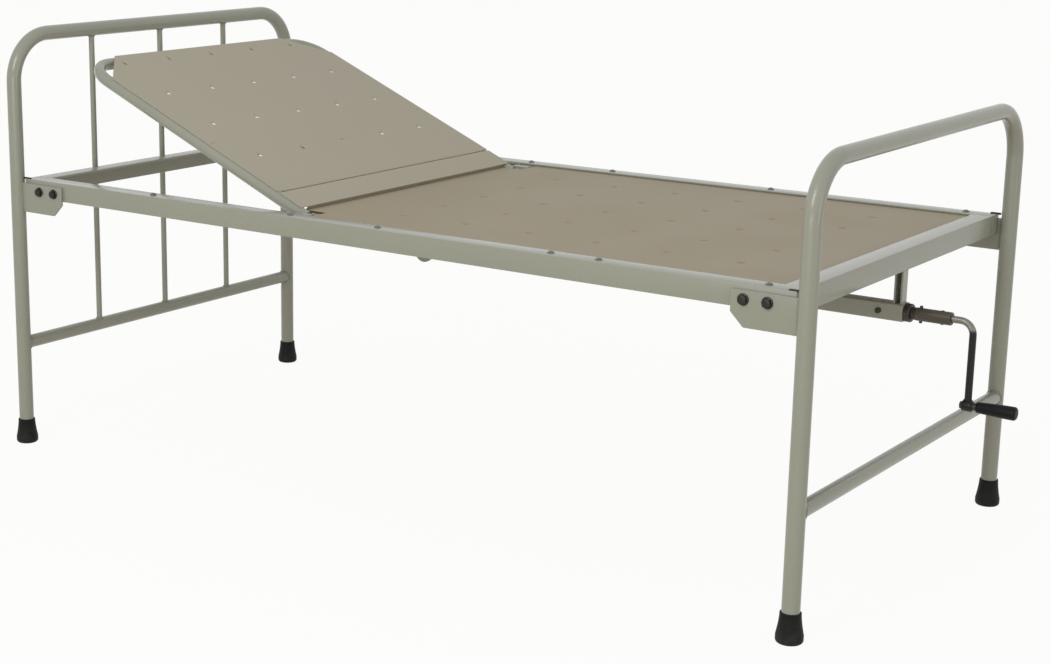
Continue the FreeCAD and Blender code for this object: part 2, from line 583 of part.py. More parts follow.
def backrest_frame_tube():
    """Bent tube whose open ends are shaped to the hinge tube."""
    z = BACK_HINGE_Z
    end = on_back(BACK_LENGTH)
    path = bent_path((BACK_HINGE_X, -BACK_HALF_WIDTH, z), (end, -BACK_HALF_WIDTH, z),
                     (end, BACK_HALF_WIDTH, z), (BACK_HINGE_X, BACK_HALF_WIDTH, z), BACK_BEND)
    tube = sweep(path, BACK_TUBE_OD).cut(sweep(path, BACK_TUBE_OD - 2 * BACK_TUBE_WALL))
    hinge = rod((BACK_HINGE_X, -HINGE_TUBE_HALF, z), (BACK_HINGE_X, HINGE_TUBE_HALF, z), BACK_TUBE_OD)
    return raised(tube.cut(hinge))


def backrest_hinge_tube():
    z = BACK_HINGE_Z
    return pipe((BACK_HINGE_X, -HINGE_TUBE_HALF, z), (BACK_HINGE_X, HINGE_TUBE_HALF, z), BACK_TUBE_OD,
                BACK_TUBE_WALL)


def backrest_stiffener():
    """Thinner cross tube under the sheet, between the side tubes and shaped to them."""
    x = on_back(BACK_STIFFENER_AT)
    z = BACK_HINGE_Z + BACK_TUBE_R - BACK_STIFFENER_OD / 2
    tube = pipe((x, -BACK_HALF_WIDTH, z), (x, BACK_HALF_WIDTH, z), BACK_STIFFENER_OD, BACK_TUBE_WALL)
    for _, side in SIDES:
        y = side * BACK_HALF_WIDTH
        tube = tube.cut(rod((x - BACK_TUBE_OD, y, BACK_HINGE_Z), (x + BACK_TUBE_OD, y, BACK_HINGE_Z),
                            BACK_TUBE_OD))
    return raised(tube)


def back_sheet_blank(start, end):
    half = BACK_SHEET_HALF_WIDTH
    z = BACK_HINGE_Z + BACK_TUBE_R
    return box(on_back(start), on_back(end), -half, half, z, z + SHEET_THICK)


def backrest_sheet():
    """Perforated sheet on the tube frame, its two outer corners cut off."""
    start = BACK_CREASE_AT + BACK_CREASE_GAP / 2
    z = BACK_HINGE_Z + BACK_TUBE_R
    sheet = back_sheet_blank(start, BACK_SHEET_END)
    inside = BACK_HALF_WIDTH - BACK_TUBE_R - SHEET_THICK
    lip = box(on_back(start), on_back(start + SHEET_THICK), -inside, inside, z - BACK_SHEET_LIP, z)
    sheet = sheet.fuse(lip).removeSplitter()
    for _, side in SIDES:
        corner = Vector(on_back(BACK_SHEET_END) - 1, side * (BACK_SHEET_HALF_WIDTH + 1), z - 1)
        along = corner + Vector(BACK_SHEET_CHAMFER + 2, 0, 0)
        across = corner + Vector(0, -side * (BACK_SHEET_CHAMFER + 2), 0)
        wedge = Part.Face(Part.makePolygon([corner, along, across, corner]))
        sheet = sheet.cut(wedge.extrude(Vector(0, 0, SHEET_THICK + 2)))
    rows = hole_rows(BACK_HOLE_FIRST, BACK_ROW_PITCH, BACK_HOLE_ROWS)
    holes = [rod((on_back(t), y, z - 1), (on_back(t), y, z + 2 * SHEET_THICK), HOLE_D)
             for t in rows for y in hole_columns()]
    return raised(sheet.cut(Part.makeCompound(holes)))


def backrest_hinge_strip():
    """Plain strip beside the hinge, with a lip folded down behind the hinge tube."""
    z = BACK_HINGE_Z + BACK_TUBE_R
    end = BACK_CREASE_AT - BACK_CREASE_GAP / 2
    strip = back_sheet_blank(BACK_SHEET_START, end)
    inside = BACK_HALF_WIDTH - BACK_TUBE_R - SHEET_THICK
    lip = box(on_back(end), on_back(end - SHEET_THICK), -inside, inside, z - BACK_SHEET_LIP, z)
    return raised(strip.fuse(lip).removeSplitter())


def pin_side_error(lean):
    """How far the pin stands beside the lever's middle line, square to it, at a lean in radians."""
    return abs(PIN_PER_RADIAN * lean - LEVER_DROP * math.tan(lean)) * math.cos(lean)


def lever_plate(side):
    """Slotted lever welded to the hinge tube. The slot lets the pin keep its height as it moves."""
    half_swing = math.radians(MID_ANGLE)
    steps = [half_swing * i / 20 for i in range(21)]
    widest = max(pin_side_error(lean) for lean in steps)
    slot_width = LEVER_PIN_D + 2 * (widest + LEVER_PIN_SLACK)
    near = LEVER_DROP - 1
    far = math.hypot(LEVER_DROP, PIN_PER_RADIAN * half_swing) + 1
    y0 = side * LEVER_Y - LEVER_THICK / 2
    x, z = BACK_HINGE_X, BACK_HINGE_Z
    tip = z - far
    taper = [Vector(x - LEVER_TOP_WIDTH / 2, y0, z), Vector(x + LEVER_TOP_WIDTH / 2, y0, z),
             Vector(x + LEVER_WIDTH / 2, y0, tip), Vector(x - LEVER_WIDTH / 2, y0, tip)]
    blade = Part.Face(Part.makePolygon(taper + taper[:1])).extrude(Vector(0, LEVER_THICK, 0))
    blade = blade.fuse(rod((x, y0, tip), (x, y0 + LEVER_THICK, tip), LEVER_WIDTH)).removeSplitter()
    slot = box(x - slot_width / 2, x + slot_width / 2, y0 - 1, y0 + LEVER_THICK + 1, tip, z - near)
    slot = slot.fuse([rod((x, y0 - 1, level), (x, y0 + LEVER_THICK + 1, level), slot_width)
                      for level in (tip, z - near)])
    blade = blade.cut(slot)
    blade = blade.cut(rod((x, y0 - 1, z), (x, y0 + LEVER_THICK + 1, z), BACK_TUBE_OD))
    blade.rotate(Vector(x, 0, z), Vector(0, 1, 0), -MID_ANGLE)
    return raised(blade)


def drive_channel():
    """Rectangular tube that guides the nut block."""
    half_y = CHANNEL_WIDTH / 2
    half_z = CHANNEL_HEIGHT / 2
    outer = box(CHANNEL_HEAD_X, END_PLATE_X, -half_y, half_y, DRIVE_Z - half_z, DRIVE_Z + half_z)
    inner = box(CHANNEL_HEAD_X - 1, END_PLATE_X + 1, -half_y + CHANNEL_WALL, half_y - CHANNEL_WALL,
                DRIVE_Z - half_z + CHANNEL_WALL, DRIVE_Z + half_z - CHANNEL_WALL)
    return outer.cut(inner)


def channel_end_plate():
    """Plate on the channel's foot end, and the screw's bearing."""
    plate = box(END_PLATE_X, CHANNEL_FRONT_X, -CHANNEL_WIDTH / 2, CHANNEL_WIDTH / 2,
                DRIVE_Z - CHANNEL_HEIGHT / 2, DRIVE_Z + CHANNEL_HEIGHT / 2)
    return plate.cut(rod((END_PLATE_X - 1, 0, DRIVE_Z), (CHANNEL_FRONT_X + 1, 0, DRIVE_Z),
                         JOURNAL_D + 2 * RUNNING_FIT))


def channel_studs():
    """Short bolts whose heads show on both sides of the channel near its foot end."""
    x = END_PLATE_X - CHANNEL_BOLT_BACK
    studs = []
    for _, side in SIDES:
        face = side * CHANNEL_WIDTH / 2
        studs.append(hexagon((x, face, DRIVE_Z), (0, side, 0), CHANNEL_BOLT_AF, CHANNEL_BOLT_H))
    return Part.makeCompound(studs)


def hanger(front_x, top):
    """Short piece of folded section, open to the near side, that carries the channel."""
    half_y = HANGER_Y / 2
    outer = box(front_x - HANGER_X, front_x, -half_y, half_y, CHANNEL_TOP, top)
    inner = box(front_x - HANGER_X + HANGER_THICK, front_x - HANGER_THICK, -half_y - 1,
                half_y - HANGER_THICK, CHANNEL_TOP, top)
    return outer.cut(inner)


def nut_block():
    """Nut that slides in the channel on the screw."""
    half_y = CHANNEL_WIDTH / 2 - CHANNEL_WALL - NUT_SIDE_GAP
    half_z = CHANNEL_HEIGHT / 2 - CHANNEL_WALL - NUT_SIDE_GAP
    half_x = NUT_LENGTH / 2
    block = box(NUT_REST_X - half_x, NUT_REST_X + half_x, -half_y, half_y, DRIVE_Z - half_z,
                DRIVE_Z + half_z)
    return block.cut(rod((NUT_REST_X - half_x - 1, 0, DRIVE_Z), (NUT_REST_X + half_x + 1, 0, DRIVE_Z),
                         SCREW_D + 2 * RUNNING_FIT))


def push_tube():
    """Tube welded to the nut, which takes in the screw's end and carries the lever pin."""
    tube = pipe((PIN_REST_X - PUSH_TUBE_END, 0, DRIVE_Z), (NUT_REST_X - NUT_LENGTH / 2, 0, DRIVE_Z),
                PUSH_TUBE_OD, PUSH_TUBE_WALL)
    return tube.cut(rod((PIN_REST_X, -PUSH_TUBE_OD, DRIVE_Z), (PIN_REST_X, PUSH_TUBE_OD, DRIVE_Z),
                        LEVER_PIN_D))


def lever_pin():
    """Pin through the push tube and both slotted levers, headed at each end."""
    x, z = PIN_REST_X, DRIVE_Z
    reach = LEVER_GAP / 2 + LEVER_THICK + LEVER_PIN_SLACK
    pin = rod((x, -reach, z), (x, reach, z), LEVER_PIN_D)
    heads = [rod((x, side * reach, z), (x, side * (reach + LEVER_PIN_HEAD_H), z), LEVER_PIN_HEAD_D)
             for _, side in SIDES]
    return pin.fuse(heads).removeSplitter()


def screw_shaft():
    """Drive screw and its journal, which reaches out into the crank's sleeve."""
    step = END_PLATE_X - THRUST_RING_L - 2 * THRUST_PLAY
    screw = rod((SCREW_HEAD_X, 0, DRIVE_Z), (step, 0, DRIVE_Z), SCREW_D)
    journal = rod((step, 0, DRIVE_Z), (CHANNEL_FRONT_X + SHAFT_STEP_OUT, 0, DRIVE_Z), JOURNAL_D)
    return screw.fuse(journal).removeSplitter().cut(cross_pin_holes())


def thrust_ring():
    """Ring on the journal inside the channel."""
    end = END_PLATE_X - THRUST_PLAY
    ring = rod((end - THRUST_RING_L, 0, DRIVE_Z), (end, 0, DRIVE_Z), THRUST_RING_D)
    return ring.cut(rod((end - THRUST_RING_L, 0, DRIVE_Z), (end, 0, DRIVE_Z), JOURNAL_D))


def thrust_collar():
    """Collar on the journal outside the end plate, its outer edge rounded off."""
    start = CHANNEL_FRONT_X + THRUST_PLAY
    collar = rod((start, 0, DRIVE_Z), (start + COLLAR_L, 0, DRIVE_Z), COLLAR_D)
    rims = [edge for edge in collar.Edges if edge.Closed and edge.BoundBox.XMin > start + COLLAR_L / 2]
    collar = collar.makeFillet(2.0, rims)
    return collar.cut(rod((start, 0, DRIVE_Z), (start + COLLAR_L, 0, DRIVE_Z), JOURNAL_D))


def sleeve_span():
    start = CHANNEL_FRONT_X + SLEEVE_START
    return start, start + SLEEVE_LENGTH


def cross_pin_places():
    """Along the sleeve: one pin through the journal and one through the crank rod."""
    start, end = sleeve_span()
    return start + 1.5 * CROSS_PIN_D, end - 3 * CROSS_PIN_D


def cross_pin(x, reach):
    return rod((x, 0, DRIVE_Z - reach), (x, 0, DRIVE_Z + reach), CROSS_PIN_D)


def cross_pin_holes():
    return Part.makeCompound([cross_pin(x, SLEEVE_D) for x in cross_pin_places()])


def crank_cross_pins():
    journal_x, rod_x = cross_pin_places()
    return Part.makeCompound([cross_pin(journal_x, SLEEVE_D / 2 + CROSS_PIN_PROUD),
                              cross_pin(rod_x, SLEEVE_D / 2 + CROSS_PIN_PROUD / 4)])


def coupling_sleeve():
    """Sleeve that joins the screw's journal to the crank rod."""
    start, end = sleeve_span()
    step = CHANNEL_FRONT_X + SHAFT_STEP_OUT
    sleeve = rod((start, 0, DRIVE_Z), (end, 0, DRIVE_Z), SLEEVE_D)
    rims = [edge for edge in sleeve.Edges if edge.Closed]
    sleeve = sleeve.makeChamfer(1.0, rims)
    sleeve = sleeve.cut(rod((start - 1, 0, DRIVE_Z), (step, 0, DRIVE_Z), JOURNAL_D))
    sleeve = sleeve.cut(rod((step, 0, DRIVE_Z), (end + 1, 0, DRIVE_Z), CRANK_ROD_D))
    return sleeve.cut(cross_pin_holes())


def crank_rod():
    """Bent bar: out along the shaft's line, then down to the eye."""
    start = Vector(CHANNEL_FRONT_X + SHAFT_STEP_OUT, 0, DRIVE_Z)
    corner = Vector(CRANK_X, 0, DRIVE_Z)
    end = Vector(CRANK_X, 0, DRIVE_Z - CRANK_ARM)
    bend_in = corner - Vector(CRANK_BEND, 0, 0)
    bend_out = corner - Vector(0, 0, CRANK_BEND)
    middle = corner + Vector(-1, 0, -1) * (CRANK_BEND * (1 - math.sqrt(0.5)))
    path = Part.Wire([Part.LineSegment(start, bend_in).toShape(),
                      Part.Arc(bend_in, middle, bend_out).toShape(),
                      Part.LineSegment(bend_out, end).toShape()])
    bar = sweep(path, CRANK_ROD_D).cut(eye_blank())
    return bar.cut(cross_pin_holes())


def eye_blank():
    z = DRIVE_Z - CRANK_ARM
    return rod((CRANK_X - EYE_WIDTH / 2, 0, z), (CRANK_X + EYE_WIDTH / 2, 0, z), EYE_D)


def crank_eye():
    """Boss welded to the arm's end, bored for the grip's pin."""
    z = DRIVE_Z - CRANK_ARM
    return eye_blank().cut(rod((CRANK_X - EYE_WIDTH, 0, z), (CRANK_X + EYE_WIDTH, 0, z), GRIP_PIN_D))


def grip_pin():
    """Bolt through the eye, with a shoulder beside it and a domed head in the grip's end."""
    z = DRIVE_Z - CRANK_ARM
    start = CRANK_X - EYE_WIDTH / 2
    shank = rod((start, 0, z), (GRIP_END_X - GRIP_PIN_HEAD_H, 0, z), GRIP_PIN_D)
    nut = hexagon((start, 0, z), (-1, 0, 0), GRIP_PIN_HEAD_AF, GRIP_PIN_HEAD_H)
    shoulder = rod((CRANK_X + EYE_WIDTH / 2, 0, z), (GRIP_X - GRIP_PLAY, 0, z), GRIP_NECK_D)
    return shank.fuse([nut, shoulder]).removeSplitter()


def hand_grip():
    """Moulded grip, fullest past its middle, with a rounded end that covers the pin."""
    z = DRIVE_Z - CRANK_ARM
    start = GRIP_START_D / 2
    middle = GRIP_MIDDLE_D / 2
    end = GRIP_END_D / 2
    side = Part.BSplineCurve()
    side.interpolate([Vector(GRIP_X, 0, start), Vector(GRIP_X + 0.3 * GRIP_LENGTH, 0, middle - 1),
                      Vector(GRIP_X + 0.6 * GRIP_LENGTH, 0, middle), Vector(GRIP_END_X - 5, 0, end)])
    close = Part.Arc(Vector(GRIP_END_X - 5, 0, end), Vector(GRIP_END_X - 1.5, 0, end - 1.5),
                     Vector(GRIP_END_X, 0, end - 5))
    outline = [side.toShape(), close.toShape(),
               Part.LineSegment(Vector(GRIP_END_X, 0, end - 5), Vector(GRIP_END_X, 0, 0)).toShape(),
               Part.LineSegment(Vector(GRIP_END_X, 0, 0), Vector(GRIP_X, 0, 0)).toShape(),
               Part.LineSegment(Vector(GRIP_X, 0, 0), Vector(GRIP_X, 0, start)).toShape()]
    body = Part.Face(Part.Wire(outline)).revolve(Vector(0, 0, 0), Vector(1, 0, 0), 360)
    bore = Part.makeCylinder(GRIP_PIN_D / 2 + RUNNING_FIT, GRIP_LENGTH - GRIP_PIN_HEAD_H + GRIP_PLAY + 1,
                             Vector(GRIP_X - 1, 0, 0), Vector(1, 0, 0))
    body = body.cut(bore)
    body.translate(Vector(0, 0, z))
    return body


def build():
    """All nodes by name."""
    nodes = {
        "head_bow_tube": bow_tube(HEAD_X, HEAD_BOW_TOP),
        "foot_bow_tube": bow_tube(FOOT_X, FOOT_BOW_TOP),
        "head_lower_rail": lower_rail(HEAD_X, HEAD_BOW_TOP),
        "foot_lower_rail": lower_rail(FOOT_X, FOOT_BOW_TOP),
        "deck_sheet": deck_sheet(),
        "hinge_support": deck_support(HINGE_SUPPORT_X, False),
        "drive_support": deck_support(DRIVE_SUPPORT_X, True),
        "foot_hanger": hanger(FRAME_END, DECK_HEIGHT - ANGLE_LEG),
        "drive_hanger": hanger(DRIVE_SUPPORT_X + HANGER_X / 2, DECK_UNDER - SUPPORT_THICK),
        "drive_channel": drive_channel(),
        "channel_end_plate": channel_end_plate(),
        "channel_studs": channel_studs(),
        "backrest_frame_tube": backrest_frame_tube(),
        "backrest_hinge_tube": backrest_hinge_tube(),
        "backrest_stiffener": backrest_stiffener(),
        "backrest_sheet": backrest_sheet(),
        "backrest_hinge_strip": backrest_hinge_strip(),
        "nut_block": nut_block(),
        "push_tube": push_tube(),
        "lever_pin": lever_pin(),
        "screw_shaft": screw_shaft(),
        "thrust_ring": thrust_ring(),
        "thrust_collar": thrust_collar(),
        "coupling_sleeve": coupling_sleeve(),
        "crank_cross_pins": crank_cross_pins(),
        "crank_rod": crank_rod(),
        "crank_eye": crank_eye(),
        "grip_pin": grip_pin(),
        "hand_grip": hand_grip(),
    }
    for i in range(BAR_COUNT):
        nodes["head_bar_%d" % (i + 1)] = head_bar(BAR_PITCH * (i - (BAR_COUNT - 1) / 2))
    for i, x in enumerate(DECK_SUPPORT_X):
        nodes["deck_support_%d" % (i + 1)] = deck_support(x, x in DECK_BOLT_X)
    bolts = []
    nuts = []
    for end_name, end in ENDS:
        nodes[end_name + "_cross_angle"] = cross_angle(end)
        for side_name, side in SIDES:
            place = "%s_%s" % (end_name, side_name)
            nodes["gusset_" + place] = gusset(end, side)
            nodes["ferrule_" + place] = ferrule(end * BED_LENGTH / 2, side * LEG_Y)
            bolts += [gusset_bolt(x, side) for x in gusset_bolt_x(end)]
            nuts += [gusset_nut(x, side) for x in gusset_bolt_x(end)]
    nodes["gusset_bolts"] = Part.makeCompound(bolts)
    nodes["gusset_nuts"] = Part.makeCompound(nuts)
    for side_name, side in SIDES:
        nodes["side_rail_" + side_name] = side_rail(side)
        nodes["hinge_bracket_" + side_name] = hinge_bracket(side)
        nodes["backrest_rest_" + side_name] = backrest_rest(side)
        nodes["lever_plate_" + side_name] = lever_plate(side)
    nodes["hinge_pins"] = Part.makeCompound([hinge_pin(side) for _, side in SIDES])
    nodes["hinge_bushes"] = Part.makeCompound([hinge_bush(side) for _, side in SIDES])
    nodes["rest_pads"] = Part.makeCompound([rest_pad(side) for _, side in SIDES])
    places = [(x, side) for x in FLANGE_BOLT_X for _, side in SIDES]
    nodes["flange_bolts"] = Part.makeCompound([flange_bolt(x, side) for x, side in places])
    nodes["flange_nuts"] = Part.makeCompound([flange_nut(x, side) for x, side in places])
    return nodes


os.makedirs("parts", exist_ok=True)
for name, shape in build().items():
    shape.translate(Vector(CENTRE_SHIFT, 0, 0))
    shape.exportStep("parts/%s.step" % name)
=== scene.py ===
"""Hospital ward bed with a crank-raised backrest: surfaces, finishes, light and camera.

Every length is in metres. +X is the foot end, -Y the near side and z = 0 the floor.
"""

import json
import math

import bmesh
import bpy
import numpy as np
from bpy.props import FloatProperty, FloatVectorProperty, PointerProperty
from mathutils import Matrix, Vector


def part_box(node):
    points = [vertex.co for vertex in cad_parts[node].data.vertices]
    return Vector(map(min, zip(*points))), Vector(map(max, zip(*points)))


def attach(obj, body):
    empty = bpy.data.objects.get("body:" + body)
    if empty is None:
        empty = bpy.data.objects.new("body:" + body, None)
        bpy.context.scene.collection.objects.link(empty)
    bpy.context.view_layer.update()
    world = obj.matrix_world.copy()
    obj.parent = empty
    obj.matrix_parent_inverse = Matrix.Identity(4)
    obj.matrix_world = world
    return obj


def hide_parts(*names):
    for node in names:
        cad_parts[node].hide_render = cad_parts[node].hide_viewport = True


bl_info = {
    "name": "Hospital ward bed",
    "version": (1, 0, 0),
    "blender": (4, 5, 0),
    "location": "3D View > Sidebar > Ward bed",
    "description": "Builds the visible surfaces and finishes of a crank-raised ward bed",
    "category": "Object",
}

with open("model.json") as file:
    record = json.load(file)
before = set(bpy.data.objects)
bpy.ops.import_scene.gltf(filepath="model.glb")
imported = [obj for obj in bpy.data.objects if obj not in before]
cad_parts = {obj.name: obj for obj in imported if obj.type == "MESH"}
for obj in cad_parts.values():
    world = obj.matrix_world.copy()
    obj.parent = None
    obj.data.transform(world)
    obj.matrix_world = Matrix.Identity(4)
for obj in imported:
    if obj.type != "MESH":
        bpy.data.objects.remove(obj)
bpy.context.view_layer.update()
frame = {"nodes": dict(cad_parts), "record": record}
MM = 0.001
X_AXIS, Y_AXIS, Z_AXIS = (1, 0, 0), (0, 1, 0), (0, 0, 1)

# Places read from the frame's own parts.
_low, _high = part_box("head_bow_tube")
HEAD_X = (_low.x + _high.x) / 2
BOW_R = (_high.x - _low.x) / 2
LEG_Y = _high.y - BOW_R
HEAD_TOP = _high.z - BOW_R
LEG_FOOT = _low.z
_low, _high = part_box("foot_bow_tube")
FOOT_X = (_low.x + _high.x) / 2
FOOT_TOP = _high.z - BOW_R
MIDDLE_X = (HEAD_X + FOOT_X) / 2
_low, _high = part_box("head_lower_rail")
RAIL_R = (_high.z - _low.z) / 2
RAIL_Z = (_high.z + _low.z) / 2
_low, _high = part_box("head_bar_1")
BAR_R = (_high.x - _low.x) / 2
_low, _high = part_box("backrest_hinge_tube")
HINGE_X = (_low.x + _high.x) / 2
HINGE_Z = (_low.z + _high.z) / 2
HINGE_R = (_high.z - _low.z) / 2
HINGE_HALF = _high.y
_low, _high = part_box("side_rail_far")
DECK_Z = _high.z
ANGLE_Y = _high.y
ANGLE_END = (_high.x - _low.x) / 2
_low, _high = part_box("drive_channel")
DRIVE_Z = (_low.z + _high.z) / 2
CHANNEL_X = (_low.x, _high.x)
CHANNEL_HALF = _high.y

# Sizes that the frame's boxes don't give.
BACK_ANGLE = math.radians(23.0)          # of the backrest, where the frame shows it
BEND_R = 100 * MM                        # of a bow's bend, along its centre line
ANGLE_LEG = 40 * MM
ANGLE_THICK = 4 * MM
SHEET_THICK = 1.2 * MM
FOLD_R = 1.5 * MM                        # of a sheet's folded edge
HOLE_R = 9 * MM
HOLE_Y = [offset * MM for offset in (-280, -140, 0, 140, 280)]
FLANGE_UNDER = DECK_Z - ANGLE_THICK
CRANK_ROD_R = 6.5 * MM
BARS = (1, 2, 3)                         # upright bars of the head bow
ENDS = (("head", HEAD_X, -1), ("foot", FOOT_X, 1))
SIDES = (("near", -1), ("far", 1))

# How finely and how closely the surfaces are made.
SMOOTH_ANGLE = math.radians(35)          # faces that meet at less are shaded as one
JOIN_WITHIN = 0.002 * MM                 # points of neighbouring patches that are one point
COPE_IN = 0.5 * MM                       # how far a coped end stands inside the tube it meets
CELL_SIDE = 10                           # divisions along each side of a hole's cell
BEAD_SIDES = 10                          # points round a weld bead
RIPPLE_STEPS = 4                         # rings to each ripple of a bead
RIPPLE_DEPTH = 0.1                       # of a bead's radius

# How much paint has rubbed off, from 0 to 1.
PLATE_WEAR = 0.8                         # at the middle of a plate's rounded rim
BEAD_WEAR = 0.3
HOLE_WEAR = 0.1                          # at the edge of a hole's opening


# Settings.

def length(label, text, default):
    """Setting in metres."""
    return FloatProperty(name=label, description=text, default=default, min=0.0, unit="LENGTH",
                         precision=5)


def power(label, text, default):
    """Setting in watts."""
    return FloatProperty(name=label, description=text, default=default, min=0.0, unit="POWER")


def factor(label, text, default):
    """Setting from 0 to 1."""
    return FloatProperty(name=label, description=text, default=default, min=0.0, max=1.0,
                         subtype="FACTOR")


def colour(label, text, default):
    """Setting that is a colour."""
    return FloatVectorProperty(name=label, description=text, default=default, size=3, min=0.0, max=1.0,
                               subtype="COLOR")


class PaintSettings(bpy.types.PropertyGroup):
    """Enamel of the frame and the sheets; the deck's colour is painted darker and the backrest's lighter, as
    painted shade and painted light
    """
    frame_colour: colour("Frame colour", "Enamel on tubes, angles and plates", (0.271, 0.278, 0.227))
    # Deck and backrest are one enamel: the deck's colour is darker, as painted shade on the flat deck, and
    # the backrest's is lighter, as painted light on its tilted face.
    deck_shaded_colour: colour("Deck colour", "Enamel on the deck sheet", (0.321, 0.276, 0.193))
    back_lit_colour: colour("Backrest colour", "Enamel on the backrest's sheets", (0.390, 0.357, 0.277))
    worn_colour: colour("Worn colour", "Darker metal that shows where paint has rubbed", (0.16, 0.15, 0.12))
    roughness: factor("Roughness", "Roughness of the enamel", 0.24)
    tone: factor("Tone", "Cloudy change of tone over the enamel", 0.10)
    peel: length("Orange peel", "Height of the enamel's fine ripple", 0.00003)


class MetalSettings(bpy.types.PropertyGroup):
    """Bare and oiled steel"""
    bright_colour: colour("Bright steel", "Bare steel of the crank's bend", (0.20, 0.19, 0.165))
    dark_colour: colour("Dark steel", "Oiled steel of the sleeve and collar", (0.055, 0.050, 0.041))
    sleeve_colour: colour("Sleeve", "Brown oiled steel of the coupling sleeve", (0.080, 0.071, 0.053))
    bolt_colour: colour("Bolts", "Dull plated bolt heads", (0.045, 0.043, 0.037))
    roughness: factor("Roughness", "Roughness of the steel", 0.38)


class SoftSettings(bpy.types.PropertyGroup):
    """Rubber and the hand grip"""
    rubber_colour: colour("Rubber", "Ferrules and rest pads", (0.006, 0.006, 0.006))
    grip_colour: colour("Grip", "Moulded hand grip", (0.006, 0.006, 0.006))
    roughness: factor("Roughness", "Roughness of the rubber", 0.55)


class DetailSettings(bpy.types.PropertyGroup):
    """Sizes of welds, edges and dishes"""
    weld_radius: length("Weld bead", "Half width of a weld bead", 0.0026)
    ripple: length("Weld ripple", "Distance between the ripples of a bead", 0.0026)
    edge: length("Edge rounding", "Rounding of plate and rolled edges", 0.0009)
    press: length("Dish depth", "How far the sheet is pressed down round a hole", 0.0024)
    opening: length("Opening", "Radius of the hole left in the bottom of its dish", 0.0045)


class StageSettings(bpy.types.PropertyGroup):
    """Light and floor"""
    sky: factor("Room light", "Strength of the even light from all round", 0.66)
    key: power("Key lamp", "Power of the large soft lamp", 54.0)
    fill: power("Side lamp", "Power of the tall lamp at the foot end", 9.0)
    low: power("Low lamp", "Power of the wide lamp that lights the drive under the deck", 16.0)
    floor_white: factor("Floor white", "Share of plain white in the floor, for the camera and gloss", 0.94)


# Shapes.

def quads(rows, columns, close_rows=False, close_columns=False):
    """Faces of a grid of points counted row by row; a closed direction joins its last line to its first."""
    r = np.arange(rows if close_rows else rows - 1)[:, None]
    c = np.arange(columns if close_columns else columns - 1)[None, :]
    r2 = (r + 1) % rows
    c2 = (c + 1) % columns
    faces = np.stack([r * columns + c, r * columns + c2, r2 * columns + c2, r2 * columns + c], axis=-1)
    return faces.reshape(-1, 4)


def around(count):
    """Angles evenly round a full turn."""
    return np.linspace(0, 2 * math.pi, count, endpoint=False)


def spokes(angle, u, v):
    """Unit vectors at angles round a circle: cos a U + sin a V."""
    return np.cos(angle)[:, None] * u + np.sin(angle)[:, None] * v


class Surface:
    """Vertices, faces and wear of one piece, gathered part by part; faces are arrays, one row a face."""

    def __init__(self):
        self.points, self.faces, self.wear = [], [], []
        self.count = 0

    def add(self, points, faces, wear=0.0):
        """Adds points and blocks of faces that count from the first of them."""
        points = np.asarray(points, float).reshape(-1, 3)
        self.points.append(points)
        self.faces += [block + self.count for block in faces]
        self.wear.append(np.broadcast_to(np.asarray(wear, float).ravel(), len(points)))
        self.count += len(points)

    def grid(self, points, close_rows=False, close_columns=False, caps=False, wear=0.0):
        """Points as [row, column, xyz]. Caps close the first and last row, each row being a ring."""
        rows, columns = points.shape[:2]
        faces = [quads(rows, columns, close_rows, close_columns)]
        if caps:
            ring = np.arange(columns)[None, :]
            faces += [ring[:, ::-1], ring + (rows - 1) * columns]
        self.add(points, faces, wear)


def outward(surface):
    """True if the closed surface has its faces pointing out: its signed volume is positive."""
    points = np.concatenate(surface.points)
    total = 0.0
    for block in surface.faces:
        ring = points[block]
        total += np.sum(ring[:, :1] * np.cross(ring[:, 1:-1], ring[:, 2:]))
    return total > 0


def corner_arc(before, corner, after, radius, steps):
    """Arc that rounds the corner between two straight lines.

    Its centre C lies on their bisector at r / sin(half angle). Its points are
    C + (S sin((1 - s) w) + E sin(s w)) / sin(w), with S and E its ends seen from C and w its sweep.
    """
    back = (before - corner) / np.linalg.norm(before - corner)
    ahead = (after - corner) / np.linalg.norm(after - corner)
    half = math.acos(float(np.clip(np.dot(back, ahead), -1, 1))) / 2
    reach = radius / math.tan(half)
    centre = corner + (back + ahead) / np.linalg.norm(back + ahead) * radius / math.sin(half)
    start = corner + back * reach - centre
    end = corner + ahead * reach - centre
    sweep = math.pi - 2 * half
    s = np.linspace(0, 1, steps)[:, None]
    return centre + (start * np.sin((1 - s) * sweep) + end * np.sin(s * sweep)) / math.sin(sweep)


def rounded_path(corners, radius, steps):
    """Centre line through corner points, each inner corner turned into an arc of the radius."""
    corners = [np.array(c, float) for c in corners]
    arcs = [corner_arc(*three, radius, steps) for three in zip(corners, corners[1:], corners[2:])]
    return np.concatenate([corners[0][None], *arcs, corners[-1][None]])


def tangents(line):
    """Unit directions along a line of points, from the neighbours of each."""
    ahead = np.vstack([line[1:], line[-1:]])
    back = np.vstack([line[:1], line[:-1]])
    along = ahead - back
    return along / np.linalg.norm(along, axis=1)[:, None]


def tube(line, normal, radius, sides, squeeze):
    """Round section carried along a flat line.

    A point is line(s) + r (cos a . N + sin a . B), with N the line's plane normal and B = T x N. In a
    bend the section is squeezed in the plane by the share given, as a bent tube's is.
    """
    along = tangents(line)
    normal = np.array(normal, float) / np.linalg.norm(normal)
    side = np.cross(along, normal)
    turn = np.linalg.norm(np.gradient(along, axis=0), axis=1)
    bent = np.clip(turn / max(turn.max(), 1e-9), 0, 1)
    angle = around(sides)
    out = np.cos(angle)[None, :, None] * normal[None, None, :]
    flat = np.sin(angle)[None, :, None] * side[:, None, :] * (1 - squeeze * bent)[:, None, None]
    return line[:, None, :] + radius * (out + flat)


